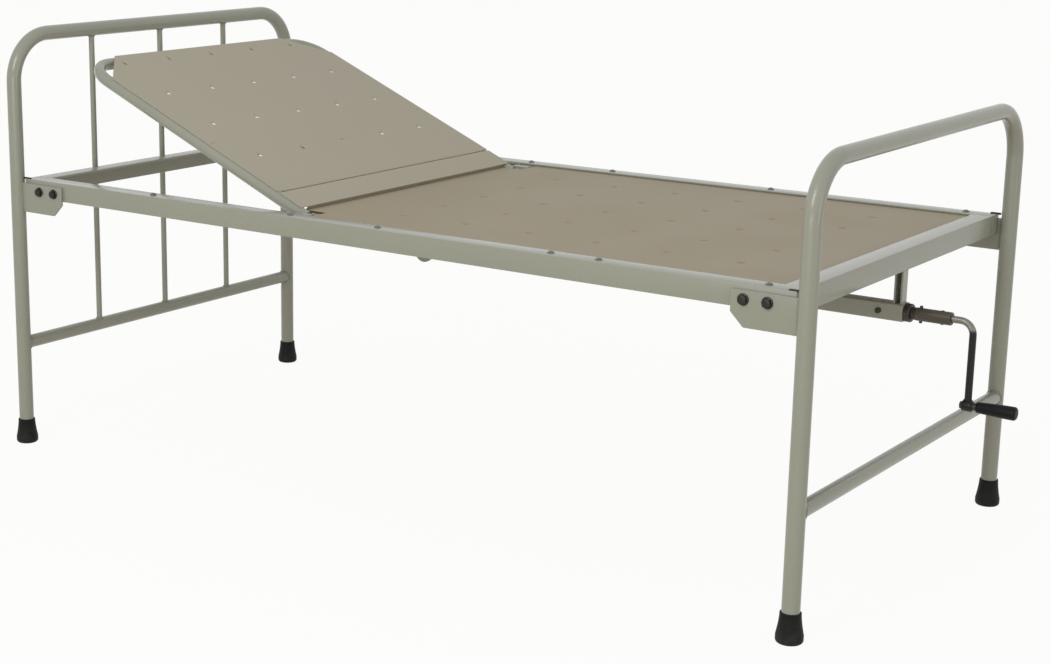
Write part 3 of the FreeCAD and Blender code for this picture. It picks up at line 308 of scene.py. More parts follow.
def basis(direction):
    """The direction as a unit vector, and two more that are square to it and to each other."""
    direction = np.array(direction, float) / np.linalg.norm(direction)
    helper = np.array([0.0, 0.0, 1.0]) if abs(direction[2]) < 0.9 else np.array([1.0, 0.0, 0.0])
    u = np.cross(helper, direction)
    u /= np.linalg.norm(u)
    return direction, u, np.cross(direction, u)


def lathe(profile, start, direction, sides):
    """Profile (distance along, radius) turned about an axis: P = start + h D + r (cos a U + sin a V)."""
    d, u, v = basis(direction)
    profile = np.array(profile, float)
    ring = spokes(around(sides), u, v)
    return np.array(start, float) + profile[:, None, 0:1] * d + profile[:, None, 1:2] * ring[None]


def rounded_loop(corners, radii, steps):
    """Closed outline in two dimensions; each corner becomes an arc of its radius, or stays sharp at 0."""
    corners = np.array(corners, float)
    loop = []
    for i, radius in enumerate(np.broadcast_to(radii, len(corners))):
        if radius > 0:
            after = corners[(i + 1) % len(corners)]
            loop.append(corner_arc(corners[i - 1], corners[i], after, radius, steps))
        else:
            loop.append(corners[i][None])
    return np.concatenate(loop)


def inset(loop, distance):
    """The outline moved inwards by a distance, each point along the middle of its two edges' normals."""
    area = np.sum(loop[:, 0] * np.roll(loop[:, 1], -1) - np.roll(loop[:, 0], -1) * loop[:, 1])
    edge = np.roll(loop, -1, axis=0) - loop
    edge /= np.linalg.norm(edge, axis=1)[:, None]
    normal = np.stack([-edge[:, 1], edge[:, 0]], axis=1) * np.sign(area)
    middle = normal + np.roll(normal, 1, axis=0)
    middle /= np.sum(middle * np.roll(normal, 1, axis=0), axis=1)[:, None]
    return loop + middle * distance


def plate(surface, loop, start, along, u_axis, v_axis, thick, edge):
    """Outline carried along a direction, its rims at both ends rounded.

    A point is O + s A + p U + q V, (p, q) the outline, drawn in by e (1 - sin t) over the last e.
    """
    along, u_axis, v_axis = (np.array(a, float) for a in (along, u_axis, v_axis))
    if edge > 0:
        t = np.linspace(0, math.pi / 2, 4)
        depth = np.concatenate([edge * (1 - np.cos(t)), thick - edge * (1 - np.cos(t[::-1]))])
        draw = np.concatenate([edge * (1 - np.sin(t)), edge * (1 - np.sin(t[::-1]))])
    else:
        depth = np.array([0.0, thick])
        draw = np.zeros(2)
    rings = []
    for d, e in zip(depth, draw):
        flat = inset(loop, e) if e > 0 else loop
        rings.append(np.array(start, float) + along * d + flat[:, 0:1] * u_axis + flat[:, 1:2] * v_axis)
    share = draw / edge if edge > 0 else draw
    wear = np.repeat(PLATE_WEAR * np.sin(math.pi * share), len(loop))
    part = Surface()
    part.grid(np.stack(rings), close_columns=True, caps=True, wear=wear)
    join(surface, part)


def join(surface, part):
    """Adds a closed part to a surface, its faces turned to point outwards."""
    faces = part.faces if outward(part) else [block[:, ::-1] for block in part.faces]
    surface.add(np.concatenate(part.points), faces, np.concatenate(part.wear))


def closed(surface, points, wear=0.0, close_rows=False):
    """Adds a grid of rings as a closed part: capped at both ends, or joined last to first."""
    part = Surface()
    part.grid(points, close_rows=close_rows, close_columns=True, caps=not close_rows, wear=wear)
    join(surface, part)


def hexagon_radius(angle, across):
    """Distance from the middle to the side of a hexagon: (a / 2) / cos of the angle from a flat's middle."""
    third = math.pi / 3
    return across / 2 / np.cos(np.mod(angle, third) - third / 2)


def hex_head(surface, start, direction, across, height, turn=0.0):
    """Hexagonal head or nut, its outer corners turned off at 30 degrees.

    The flats reach up to h - (r - c) tan 30, with r the distance to the hexagon and c the crown's radius.
    """
    crown_share, face_share, face_rise = 0.96, 0.9, 0.02
    d, u, v = basis(direction)
    angle = around(48)
    full = hexagon_radius(angle, across)
    crown = across / 2 * crown_share
    drop = (full - crown) * math.tan(math.radians(30))
    ring = spokes(angle + turn, u, v)
    start = np.array(start, float)
    rows = [start + ring * full[:, None], start + ring * full[:, None] + d * (height - drop)[:, None],
            start + ring * crown + d * height,
            start + ring * crown * face_share + d * (height + face_rise * across)]
    closed(surface, np.stack(rows))


def seam_bead(surface, seam, out, axis, size, sides, wear=0.0):
    """Bead along a ring-shaped seam: P = seam + size (cos g out + sin g A)."""
    g = around(sides)
    section = np.cos(g)[None, :, None] * out[:, None, :] + np.sin(g)[None, :, None] * np.array(axis, float)
    closed(surface, seam[:, None, :] + size[:, None, None] * section, wear=wear, close_rows=True)


def saddle_bead(surface, centre, axis, along, small, big, radius, pitch):
    """Weld round a small tube that stands on a big one.

    The seam is C + a (cos f U + sin f L) + sqrt(b^2 - a^2 cos^2 f) A, with A the small tube's axis and
    L the big tube's. The bead's radius ripples by a tenth, and swells a little three times round.
    """
    swell, swell_turns = 0.12, 3
    axis, along = np.array(axis, float), np.array(along, float)
    ripples = max(8, int(2 * math.pi * small / pitch))
    f = around(ripples * RIPPLE_STEPS)
    out = spokes(f, np.cross(axis, along), along)
    rise = np.sqrt(np.maximum(big ** 2 - (small * np.cos(f)) ** 2, 0))
    seam = np.array(centre, float) + small * out + rise[:, None] * axis
    start_turn = 900 * small
    ripple = 1 + RIPPLE_DEPTH * np.sin(ripples * f)
    size = radius * ripple * (1 + swell * np.sin(swell_turns * f + start_turn))
    seam_bead(surface, seam, out, axis, size, BEAD_SIDES, BEAD_WEAR)


def line_bead(surface, start, end, radius, pitch):
    """Straight weld: a rod whose radius ripples by a tenth and runs out at both ends as a half ellipse."""
    start, end = np.array(start, float), np.array(end, float)
    span = np.linalg.norm(end - start)
    count = max(12, int(span / pitch) * RIPPLE_STEPS)
    s = np.linspace(0, 1, count + 1)
    run_out = np.sqrt(np.clip(1 - np.abs(2 * s - 1) ** (span / radius), 0.02, 1))
    size = radius * run_out * (1 + RIPPLE_DEPTH * np.sin(2 * math.pi * s * span / pitch))
    ring = spokes(around(BEAD_SIDES), *basis(end - start)[1:])
    middle = start + (end - start) * s[:, None]
    closed(surface, middle[:, None, :] + size[:, None, None] * ring, wear=BEAD_WEAR)


def perimeter(corners, counts):
    """Points along a closed outline, its corners first, each side divided into its own count."""
    corners = np.array(corners, float)
    sides = []
    for i, count in enumerate(counts):
        s = np.linspace(0, 1, count, endpoint=False)[:, None]
        sides.append(corners[i] * (1 - s) + corners[(i + 1) % len(corners)] * s)
    return np.concatenate(sides)


def hole_cell(surface, place, middle, corners, counts, press, opening):
    """Sheet between a dished hole and an outline.

    P(a, w) = (1 - w) (m + R e(a)) + w Q(a), with Q the outline. Inside the radius R the sheet goes
    down as d (1 + cos(pi (r - o) / (R - o))) / 2, with o the radius of the opening.
    """
    dish_rings, ring_shares = 7, (0.06, 0.4, 1.0)
    middle = np.array(middle, float)
    outline = perimeter(corners, counts)
    ray = outline - middle
    bearing = np.unwrap(np.arctan2(ray[:, 1], ray[:, 0]))
    spin = np.sign(bearing[-1] - bearing[0])
    even = bearing[0] + spin * around(len(outline))
    angle = (even + bearing) / 2
    circle = np.stack([np.cos(angle), np.sin(angle)], axis=1)
    radii = np.linspace(opening, HOLE_R, dish_rings)
    depth = press * (1 + np.cos(np.linspace(0, math.pi, dish_rings))) / 2
    rows = [np.column_stack([middle + circle * r, np.full(len(circle), -d)]) for r, d in zip(radii, depth)]
    rim = middle + circle * HOLE_R
    for share in ring_shares:
        rows.append(np.column_stack([rim * (1 - share) + outline * share, np.zeros(len(rim))]))
    wear = np.repeat([HOLE_WEAR] + [0.0] * (len(rows) - 1), len(outline))
    faces = quads(len(rows), len(outline), close_columns=True)
    surface.add(place(np.concatenate(rows)), [faces], wear)


def flat_patch(surface, place, low, high, count_p, count_q):
    """Plain rectangle of sheet, divided like its neighbours."""
    p = np.linspace(low[0], high[0], count_p + 1)
    q = np.linspace(low[1], high[1], count_q + 1)
    grid_p, grid_q = np.meshgrid(p, q, indexing="ij")
    points = np.stack([grid_p, grid_q, np.zeros_like(grid_p)], axis=-1)
    surface.add(place(points.reshape(-1, 3)), [quads(len(p), len(q))[:, ::-1]])


def folded_strip(surface, place, low, high, depth, direction, count):
    """Lip folded down from an edge: a quarter circle of the fold's radius, then straight down.

    The direction is where the fold starts and the sign of the way in which it goes out.
    """
    q = np.linspace(low, high, count + 1)
    turn = np.linspace(0, math.pi / 2, 5)
    p = np.concatenate([FOLD_R * np.sin(turn), [FOLD_R]])
    h = np.concatenate([FOLD_R * (np.cos(turn) - 1), [-depth]])
    across, along = np.meshgrid(direction[0] + direction[1] * p, q, indexing="ij")
    grid = np.stack([across, along, np.broadcast_to(h[:, None], across.shape)], axis=-1)
    surface.add(place(grid.reshape(-1, 3)), [quads(len(p), len(q))])


def flipped_up(mesh, up):
    """Turns every face of an open sheet over if most of them point away from a direction."""
    normals, areas = np.empty(3 * len(mesh.polygons)), np.empty(len(mesh.polygons))
    mesh.polygons.foreach_get("normal", normals)
    mesh.polygons.foreach_get("area", areas)
    if np.dot(normals.reshape(-1, 3) @ np.array(up), areas) < 0:
        mesh.flip_normals()


def filled(mesh, surface):
    """Gives a mesh the surface's points and faces."""
    faces = [face for block in surface.faces for face in block.tolist()]
    mesh.from_pydata(np.concatenate(surface.points).tolist(), [], faces)


def sharp_border(mesh):
    """Marks the open edges of a sheet as sharp, so that its rim doesn't shade into its top."""
    used = np.empty(len(mesh.loops), np.int32)
    mesh.loops.foreach_get("edge_index", used)
    sharp = np.empty(len(mesh.edges), bool)
    mesh.edges.foreach_get("use_edge_sharp", sharp)
    mesh.edges.foreach_set("use_edge_sharp", sharp | (np.bincount(used, minlength=len(sharp)) == 1))


def piece(name, surface, finish, body, nodes=(), up=None):
    """Makes the Blender object of a surface, which rides on a body and may stand for CAD nodes.

    A surface that has a direction as its up is an open sheet: its patches are joined into one, its
    faces point up, and it gets its thickness below.
    """
    mesh = bpy.data.meshes.new(name)
    filled(mesh, surface)
    attribute = mesh.attributes.new("wear", "FLOAT", "POINT")
    attribute.data.foreach_set("value", np.concatenate(surface.wear).astype(np.float32))
    if up is not None:
        work = bmesh.new()
        work.from_mesh(mesh)
        bmesh.ops.remove_doubles(work, verts=work.verts, dist=JOIN_WITHIN)
        bmesh.ops.recalc_face_normals(work, faces=work.faces)
        work.to_mesh(mesh)
        work.free()
        flipped_up(mesh, up)
    mesh.validate()
    mesh.shade_smooth()
    mesh.set_sharp_from_angle(angle=SMOOTH_ANGLE)
    if up is not None:
        sharp_border(mesh)
    mesh.materials.append(FINISHES[finish])
    made = bpy.data.objects.new(name, mesh)
    bpy.context.scene.collection.objects.link(made)
    if up is not None:
        wall = made.modifiers.new("thickness", "SOLIDIFY")
        wall.thickness = SHEET_THICK
        wall.offset = -1.0
        wall.use_even_offset = True
    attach(made, body)
    if nodes:
        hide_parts(*nodes)


def painted(name, surface, nodes=(), body="frame"):
    """Makes a piece in the frame's enamel."""
    piece(name, surface, "frame_enamel", body, nodes)


# Finishes.

FINISHES = {}
FINISH_OF_SLOT = {
    "frame_paint": "frame_enamel", "sheet_paint": "sheet_enamel", "rubber_black": "rubber",
    "bolt_steel": "plated_bolts", "bush_plastic": "bush", "crank_steel": "oiled_steel",
    "nut_brass": "brass", "grip_plastic": "grip_skin",
}
GREY = (0.5, 0.5, 0.5, 1.0)              # what a group's colour inputs hold until they are linked


def new_group(name, inputs, outputs):
    """Empty shader node group with sockets; an input is (name, kind, default)."""
    group = bpy.data.node_groups.new(name, "ShaderNodeTree")
    for label, kind, default in inputs:
        socket = group.interface.new_socket(name=label, in_out="INPUT", socket_type=kind)
        socket.default_value = default
    for label, kind in outputs:
        group.interface.new_socket(name=label, in_out="OUTPUT", socket_type=kind)
    return group, group.nodes.new("NodeGroupInput"), group.nodes.new("NodeGroupOutput")


def feed(tree, socket, value):
    """Gives an input a value: another socket, a number or a colour."""
    if isinstance(value, bpy.types.NodeSocket):
        tree.links.new(value, socket)
    elif isinstance(value, (int, float)):
        socket.default_value = value
    else:
        socket.default_value = (*value, 1.0)


def object_place(tree):
    """Object coordinates, which stay with a piece when its body moves."""
    return tree.nodes.new("ShaderNodeTexCoord").outputs["Object"]


def noise(tree, vector, scale, detail=3.0, rough=0.5):
    """Noise texture."""
    node = tree.nodes.new("ShaderNodeTexNoise")
    node.inputs["Scale"].default_value = scale
    node.inputs["Detail"].default_value = detail
    node.inputs["Roughness"].default_value = rough
    tree.links.new(vector, node.inputs["Vector"])
    return node


def maths(tree, operation, first, second, clamp=False):
    """Math node; an argument is a socket or a number."""
    node = tree.nodes.new("ShaderNodeMath")
    node.operation = operation
    node.use_clamp = clamp
    feed(tree, node.inputs[0], first)
    feed(tree, node.inputs[1], second)
    return node.outputs[0]


def ramp(tree, value, low, high, to_low=0.0, to_high=1.0):
    """Straight rise from to_low to to_high as the value goes from low to high."""
    node = tree.nodes.new("ShaderNodeMapRange")
    node.inputs["From Min"].default_value = low
    node.inputs["From Max"].default_value = high
    node.inputs["To Min"].default_value = to_low
    node.inputs["To Max"].default_value = to_high
    tree.links.new(value, node.inputs["Value"])
    return node.outputs["Result"]


def mix_colour(tree, share, first, second):
    """Colour between two, by a share from 0 to 1."""
    node = tree.nodes.new("ShaderNodeMix")
    node.data_type = "RGBA"
    for number, value in ((0, share), (6, first), (7, second)):     # 6 and 7 are its two colours
        feed(tree, node.inputs[number], value)
    return node.outputs[2]


def tone_group():
    """Cloudy tone: colour x (1 + tone (n - 1/2)), n a soft noise, with a fine speckle over it."""
    group, inside, outside = new_group(
        "Cloudy tone",
        [("Colour", "NodeSocketColor", GREY), ("Tone", "NodeSocketFloat", 0.1)],
        [("Colour", "NodeSocketColor"), ("Mask", "NodeSocketFloat")])
    place = object_place(group)
    cloud = noise(group, place, 3.5, 4.0, 0.55).outputs["Fac"]
    speck = noise(group, place, 420.0, 2.0).outputs["Fac"]
    both = maths(group, "ADD", maths(group, "SUBTRACT", cloud, 0.5),
                 maths(group, "MULTIPLY", maths(group, "SUBTRACT", speck, 0.5), 0.3))
    share = maths(group, "ADD", maths(group, "MULTIPLY", both, inside.outputs["Tone"]), 1.0)
    scale = group.nodes.new("ShaderNodeVectorMath")
    scale.operation = "SCALE"
    group.links.new(inside.outputs["Colour"], scale.inputs[0])
    group.links.new(share, scale.inputs["Scale"])
    group.links.new(scale.outputs["Vector"], outside.inputs["Colour"])
    group.links.new(cloud, outside.inputs["Mask"])


def wear_group():
    """Rubbed edges: where the wear attribute passes a broken noise, the worn colour shows."""
    group, inside, outside = new_group(
        "Rubbed edges",
        [("Colour", "NodeSocketColor", GREY), ("Worn", "NodeSocketColor", GREY),
         ("Amount", "NodeSocketFloat", 0.5)],
        [("Colour", "NodeSocketColor"), ("Mask", "NodeSocketFloat")])
    place = object_place(group)
    attribute = group.nodes.new("ShaderNodeAttribute")
    attribute.attribute_name = "wear"
    broken = noise(group, place, 95.0, 5.0, 0.7).outputs["Fac"]
    rubbed = maths(group, "MULTIPLY", attribute.outputs["Fac"], ramp(group, broken, 0.42, 0.66))
    chips = ramp(group, noise(group, place, 26.0, 8.0, 0.75).outputs["Fac"], 0.735, 0.76)
    mask = maths(group, "MULTIPLY", maths(group, "ADD", rubbed, chips, True), inside.outputs["Amount"], True)
    group.links.new(mix_colour(group, mask, inside.outputs["Colour"], inside.outputs["Worn"]),
                    outside.inputs["Colour"])
    group.links.new(mask, outside.inputs["Mask"])


def grain_group():
    """Relief: a broad ripple with a finer one added, as a height."""
    group, inside, outside = new_group(
        "Relief",
        [("Broad", "NodeSocketFloat", 180.0), ("Fine", "NodeSocketFloat", 900.0),
         ("Share", "NodeSocketFloat", 0.3)],
        [("Height", "NodeSocketFloat")])
    place = object_place(group)
    broad = noise(group, place, 180.0, 2.0)
    fine = noise(group, place, 900.0, 2.0)
    group.links.new(inside.outputs["Broad"], broad.inputs["Scale"])
    group.links.new(inside.outputs["Fine"], fine.inputs["Scale"])
    height = maths(group, "ADD", broad.outputs["Fac"],
                   maths(group, "MULTIPLY", fine.outputs["Fac"], inside.outputs["Share"]))
    group.links.new(height, outside.inputs["Height"])


def floor_dust_group():
    """Dust near the floor: a share that falls from the floor up, broken by a noise."""
    group, inside, outside = new_group(
        "Floor dust", [("Reach", "NodeSocketFloat", 0.05)], [("Mask", "NodeSocketFloat")])
    place = object_place(group)
    split = group.nodes.new("ShaderNodeSeparateXYZ")
    group.links.new(place, split.inputs[0])
    rise = maths(group, "DIVIDE", split.outputs["Z"], inside.outputs["Reach"])
    low = maths(group, "SUBTRACT", 1.0, rise, True)
    broken = ramp(group, noise(group, place, 60.0, 6.0, 0.65).outputs["Fac"], 0.35, 0.75)
    group.links.new(maths(group, "MULTIPLY", low, broken), outside.inputs["Mask"])


def material(name):
    """New finish under its name; gives its nodes and its main shader."""
    made = bpy.data.materials.new(name)
    made.use_nodes = True
    FINISHES[name] = made
    shader = next(n for n in made.node_tree.nodes if n.type == "BSDF_PRINCIPLED")
    return made.node_tree, shader


def use_group(tree, name, **values):
    """Places a node group in a material with its own values."""
    node = tree.nodes.new("ShaderNodeGroup")
    node.node_tree = bpy.data.node_groups[name]
    for label, value in values.items():
        feed(tree, node.inputs[label], value)
    return node


def relief(tree, shader, distance, **values):
    """Fine relief of a surface: its depth, and the values of the Relief group."""
    bump = tree.nodes.new("ShaderNodeBump")
    bump.inputs["Distance"].default_value = distance
    tree.links.new(use_group(tree, "Relief", **values).outputs["Height"], bump.inputs["Height"])
    tree.links.new(bump.outputs["Normal"], shader.inputs["Normal"])


def uneven(tree, mask, rough, less, more):
    """Roughness that follows a cloudy mask, from rough - less to rough + more."""
    return ramp(tree, mask, 0.3, 0.7, rough - less, rough + more)


def enamel(name, base, settings, wear=0.5, shine=0.5):
    """Stoved enamel: cloudy tone, rubbed edges, orange peel and a gloss that varies a little."""
    tree, shader = material(name)
    tone = use_group(tree, "Cloudy tone", Colour=base, Tone=settings.tone)
    edges = use_group(tree, "Rubbed edges", Colour=tone.outputs["Colour"], Worn=settings.worn_colour,
                      Amount=wear)
    tree.links.new(edges.outputs["Colour"], shader.inputs["Base Color"])
    gloss = uneven(tree, tone.outputs["Mask"], settings.roughness + 0.6 * (0.5 - shine), 0.05, 0.06)
    tree.links.new(maths(tree, "ADD", gloss, maths(tree, "MULTIPLY", edges.outputs["Mask"], 0.15)),
                   shader.inputs["Roughness"])
    shader.inputs["Specular IOR Level"].default_value = shine
    relief(tree, shader, settings.peel, Broad=260.0, Fine=1100.0, Share=0.3)


def steel(name, base, rough, tone=0.35, metallic=1.0):
    """Bare or plated steel: cloudy tone, darker specks and fine turning marks."""
    tree, shader = material(name)
    cloud = use_group(tree, "Cloudy tone", Colour=base, Tone=tone)
    edges = use_group(tree, "Rubbed edges", Colour=cloud.outputs["Colour"], Worn=(0.05, 0.04, 0.03),
                      Amount=0.35)
    tree.links.new(edges.outputs["Colour"], shader.inputs["Base Color"])
    tree.links.new(uneven(tree, cloud.outputs["Mask"], rough, 0.08, 0.1), shader.inputs["Roughness"])
    shader.inputs["Metallic"].default_value = metallic
    relief(tree, shader, 0.03 * MM, Broad=700.0, Fine=2600.0, Share=0.6)


def moulding(name, base, rough, dust, fine=1400.0, depth=0.05 * MM):
    """Black rubber or plastic: matt skin with fine grain and pale dust near the floor."""
    tree, shader = material(name)
    cloud = use_group(tree, "Cloudy tone", Colour=base, Tone=0.3)
    amount = maths(tree, "MULTIPLY", use_group(tree, "Floor dust", Reach=0.05).outputs["Mask"], dust)
    tree.links.new(mix_colour(tree, amount, cloud.outputs["Colour"], (0.22, 0.21, 0.19)),
                   shader.inputs["Base Color"])
    tree.links.new(maths(tree, "ADD", uneven(tree, cloud.outputs["Mask"], rough, 0.06, 0.06),
                         maths(tree, "MULTIPLY", amount, 0.5), True), shader.inputs["Roughness"])
    shader.inputs["Specular IOR Level"].default_value = 0.15
    relief(tree, shader, depth, Broad=500.0, Fine=fine, Share=0.5)


def crank_finish(name, bare, black, rough, change):
    """Crank rod: bare steel on top, black enamel below a broken line at the height given."""
    tree, shader = material(name)
    place = object_place(tree)
    split = tree.nodes.new("ShaderNodeSeparateXYZ")
    tree.links.new(place, split.inputs[0])
    ragged = maths(tree, "MULTIPLY", noise(tree, place, 160.0, 4.0, 0.6).outputs["Fac"], 8 * MM)
    height = maths(tree, "ADD", split.outputs["Z"], ragged)
    steel_share = ramp(tree, height, change, change + 4 * MM)
    cloud = use_group(tree, "Cloudy tone", Colour=bare, Tone=0.4)
    tree.links.new(mix_colour(tree, steel_share, black, cloud.outputs["Colour"]), shader.inputs["Base Color"])
    tree.links.new(steel_share, shader.inputs["Metallic"])
    shader.inputs["Roughness"].default_value = rough
    shader.inputs["Specular IOR Level"].default_value = 0.3
    relief(tree, shader, 0.04 * MM, Broad=600.0, Fine=2200.0, Share=0.5)


class BED_OT_finishes(bpy.types.Operator):
    """Makes the finishes and gives one to every CAD part"""
    bl_idname = "bed.finishes"
    bl_label = "Finishes"

    def execute(self, context):
        paint, metal, soft = context.scene.bed_paint, context.scene.bed_metal, context.scene.bed_soft
        for make in (tone_group, wear_group, grain_group, floor_dust_group):
            make()
        enamel("frame_enamel", paint.frame_colour, paint)
        # Deck and backrest get darker and lighter copies of one enamel: painted shade on the deck, painted
        # light on the backrest.
        enamel("sheet_enamel", paint.deck_shaded_colour, paint, wear=0.4, shine=0.08)
        enamel("back_enamel", paint.back_lit_colour, paint, wear=0.4, shine=0.08)
        enamel("weld_enamel", [0.82 * share for share in paint.frame_colour], paint, wear=0.8)
        enamel("flange_bolts", (0.13, 0.125, 0.105), paint, wear=0.8)
        moulding("rubber", soft.rubber_colour, soft.roughness, 0.14)
        moulding("grip_skin", soft.grip_colour, 0.42, 0.0, 2200.0, 0.03 * MM)
        moulding("bush", (0.5, 0.49, 0.44), 0.45, 0.0)
        steel("plated_bolts", metal.bolt_colour, 0.42)
        steel("oiled_steel", metal.dark_colour, metal.roughness, 0.5, 0.9)
        steel("sleeve_steel", metal.sleeve_colour, 0.42, 0.6, 0.8)
        # Near-black finish of the beads on the flange tops beside the legs.
        steel("burnt_weld", (0.02, 0.018, 0.014), 0.55, 0.5, 0.5)
        steel("brass", (0.42, 0.30, 0.11), 0.35)
        crank_finish("crank_rod", metal.bright_colour, soft.grip_colour, metal.roughness, DRIVE_Z - 14 * MM)
        slots = {part["node"]: part["material_slot"] for part in frame["record"]["subparts"]}
        for name, node in frame["nodes"].items():
            finish = FINISHES[FINISH_OF_SLOT.get(slots.get(name), "frame_enamel")]
            node.data.materials.clear()
            node.data.materials.append(finish)
        return {"FINISHED"}


def bow_line(x, top):
    """Centre line of a bow: up one leg, across its top and down the other."""
    return rounded_path([(x, -LEG_Y, LEG_FOOT), (x, -LEG_Y, top), (x, LEG_Y, top), (x, LEG_Y, LEG_FOOT)],
                        BEND_R, 30)


def coped_tube(surface, start, end, radius, big, big_axis, sides=32):
    """Tube between two bigger tubes' centre lines, its ends shaped to them.

    The end ring stands sqrt(b^2 - w^2) before the bigger tube's centre, w being how far across its
    axis the point lies, and half a millimetre inside its wall.
    """
    start, end = np.array(start, float), np.array(end, float)
    axis = (end - start) / np.linalg.norm(end - start)
    big_axis = np.array(big_axis, float)
    angle = around(sides)
    width = radius * np.cos(angle)
    ring = radius * spokes(angle, np.cross(axis, big_axis), big_axis)
    rows = []
    for centre, sign, size in ((start, 1, big[0]), (end, -1, big[1])):
        back = np.sqrt(np.maximum(size ** 2 - width ** 2, 0)) - COPE_IN
        rows.append(centre + ring + axis * (sign * back)[:, None])
    closed(surface, np.stack(rows))


def bar_place(number):
    """Name of an upright bar's part and how far across the bed it stands."""
    node = "head_bar_%d" % number
    low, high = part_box(node)
    return node, (low.y + high.y) / 2


class BED_OT_bows(bpy.types.Operator):
    """Bends the two bows and sets the lower rails and upright bars between them"""
    bl_idname = "bed.bows"
    bl_label = "Bows, rails and bars"

    def execute(self, context):
        for end, x, top in (("head", HEAD_X, HEAD_TOP), ("foot", FOOT_X, FOOT_TOP)):
            bow = Surface()
            closed(bow, tube(bow_line(x, top), X_AXIS, BOW_R, 48, 0.025))
            painted(end + "_bow", bow, [end + "_bow_tube"])
            rail = Surface()
            coped_tube(rail, (x, -LEG_Y, RAIL_Z), (x, LEG_Y, RAIL_Z), RAIL_R, (BOW_R, BOW_R), Z_AXIS, 40)
            painted(end + "_cross_tube", rail, [end + "_lower_rail"])
        for number in BARS:
            node, y = bar_place(number)
            bar = Surface()
            coped_tube(bar, (HEAD_X, y, RAIL_Z), (HEAD_X, y, HEAD_TOP), BAR_R, (RAIL_R, BOW_R), Y_AXIS, 24)
            painted("head_upright_%d" % number, bar, [node])
        return {"FINISHED"}


def ferrule_profile(low, high):
    """Rubber foot: floor edge, full band, a hollow taper r = t + (b - t)(1 - u)^1.6, rolled upper lip."""
    base = (high.x - low.x) / 2
    top = 18.5 * MM
    edge, band, height, lip = 6 * MM, 14 * MM, high.z, 1.8 * MM
    turn = np.linspace(0, math.pi / 2, 8)
    floor_edge = np.column_stack([edge * (1 - np.cos(turn)), base - edge * (1 - np.sin(turn))])
    u = np.linspace(0, 1, 16)
    taper = np.column_stack([band + (height - lip - band) * u, top + (base - top) * (1 - u) ** 1.6])
    lip_turn = np.linspace(0, math.pi / 2, 6)[1:]
    roll = np.column_stack([height - lip + lip * np.sin(lip_turn), top - lip * (1 - np.cos(lip_turn))])
    inner = np.array([[height - 0.4 * MM, BOW_R + 0.3 * MM], [height - 2 * MM, BOW_R + 0.05 * MM]])
    return np.concatenate([[[0.0, base * 0.5]], floor_edge, taper, roll, inner])


class BED_OT_ferrules(bpy.types.Operator):
    """Moulds the four rubber ferrules"""
    bl_idname = "bed.ferrules"
    bl_label = "Ferrules"

    def execute(self, context):
        for end, x, _ in ENDS:
            for name, side in SIDES:
                node = "ferrule_%s_%s" % (end, name)
                foot = Surface()
                closed(foot, lathe(ferrule_profile(*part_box(node)), (x, side * LEG_Y, 0), Z_AXIS, 64))
                piece("%s_%s_foot" % (end, name), foot, "rubber", "frame", [node])
        return {"FINISHED"}


def angle_loop(toe, heel, top, leg, thick, side):
    """L outline with its toe edges rounded: (across, up), the flange on top and the web at the heel."""
    inner = heel - side * thick
    corners = [(toe, top), (heel, top), (heel, top - leg), (inner, top - leg), (inner, top - thick),
               (toe, top - thick)]
    return rounded_loop(corners, [0.6 * MM, 1.2 * MM, 0.8 * MM, 1.8 * MM, 0.0, 1.8 * MM], 4)


class BED_OT_bed_frame(bpy.types.Operator):
    """Rolls the side rails, cross angles and supports, and cuts the gusset plates"""
    bl_idname = "bed.bed_frame"
    bl_label = "Bed frame"

    def execute(self, context):
        edge = context.scene.bed_detail.edge
        inner_y = ANGLE_Y - ANGLE_THICK
        flange_y = ANGLE_Y - ANGLE_LEG
        for name, side in SIDES:
            rail = Surface()
            loop = angle_loop(side * flange_y, side * ANGLE_Y, DECK_Z, ANGLE_LEG, ANGLE_THICK, side)
            plate(rail, loop, (MIDDLE_X - ANGLE_END, 0, 0), X_AXIS, Y_AXIS, Z_AXIS, 2 * ANGLE_END, 0.5 * edge)
            painted("long_angle_" + name, rail, ["side_rail_" + name])
        for name, leg_x, end in ENDS:
            cross = Surface()
            face = MIDDLE_X + end * ANGLE_END
            inner_x, bottom = face - end * ANGLE_THICK, DECK_Z - ANGLE_LEG
            loop = angle_loop(face - end * ANGLE_LEG, face, DECK_Z, ANGLE_LEG, ANGLE_THICK, end)
            plate(cross, loop, (0, -flange_y, 0), Y_AXIS, X_AXIS, Z_AXIS, 2 * flange_y, 0.0)
            tongue = rounded_loop([(inner_x, FLANGE_UNDER), (face, FLANGE_UNDER), (face, bottom),
                                   (inner_x, bottom)], [0.0, 0.0, 0.8 * MM, 1.8 * MM], 4)
            for side in (-1, 1):
                plate(cross, tongue, (0, side * (flange_y - MM), 0), (0, side, 0), X_AXIS, Z_AXIS,
                      inner_y - flange_y + MM, 0.0)
            painted("end_angle_" + name, cross, [name + "_cross_angle"])
            for near, side in SIDES:
                node = "gusset_%s_%s" % (name, near)
                low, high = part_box(node)
                tip = low.x if end > 0 else high.x
                slope = 25 * MM
                outline = rounded_loop([(leg_x, high.z), (tip, high.z), (tip, low.z + slope),
                                        (tip + end * slope, low.z), (leg_x, low.z)],
                                       [0.0, 3 * MM, 4 * MM, 4 * MM, 0.0], 5)
                gusset = Surface()
                plate(gusset, outline, (0, low.y, 0), Y_AXIS, X_AXIS, Z_AXIS, high.y - low.y, edge)
                painted("corner_plate_%s_%s" % (name, near), gusset, [node])
        for node in ("hinge_support", "drive_support", "deck_support_1", "deck_support_2", "deck_support_3"):
            low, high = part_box(node)
            beam = Surface()
            loop = angle_loop(low.x, high.x, high.z, high.z - low.z, ANGLE_THICK, 1)
            plate(beam, loop, (0, low.y, 0), Y_AXIS, X_AXIS, Z_AXIS, high.y - low.y, 0.0)
            painted(node + "_angle", beam, [node])
        return {"FINISHED"}


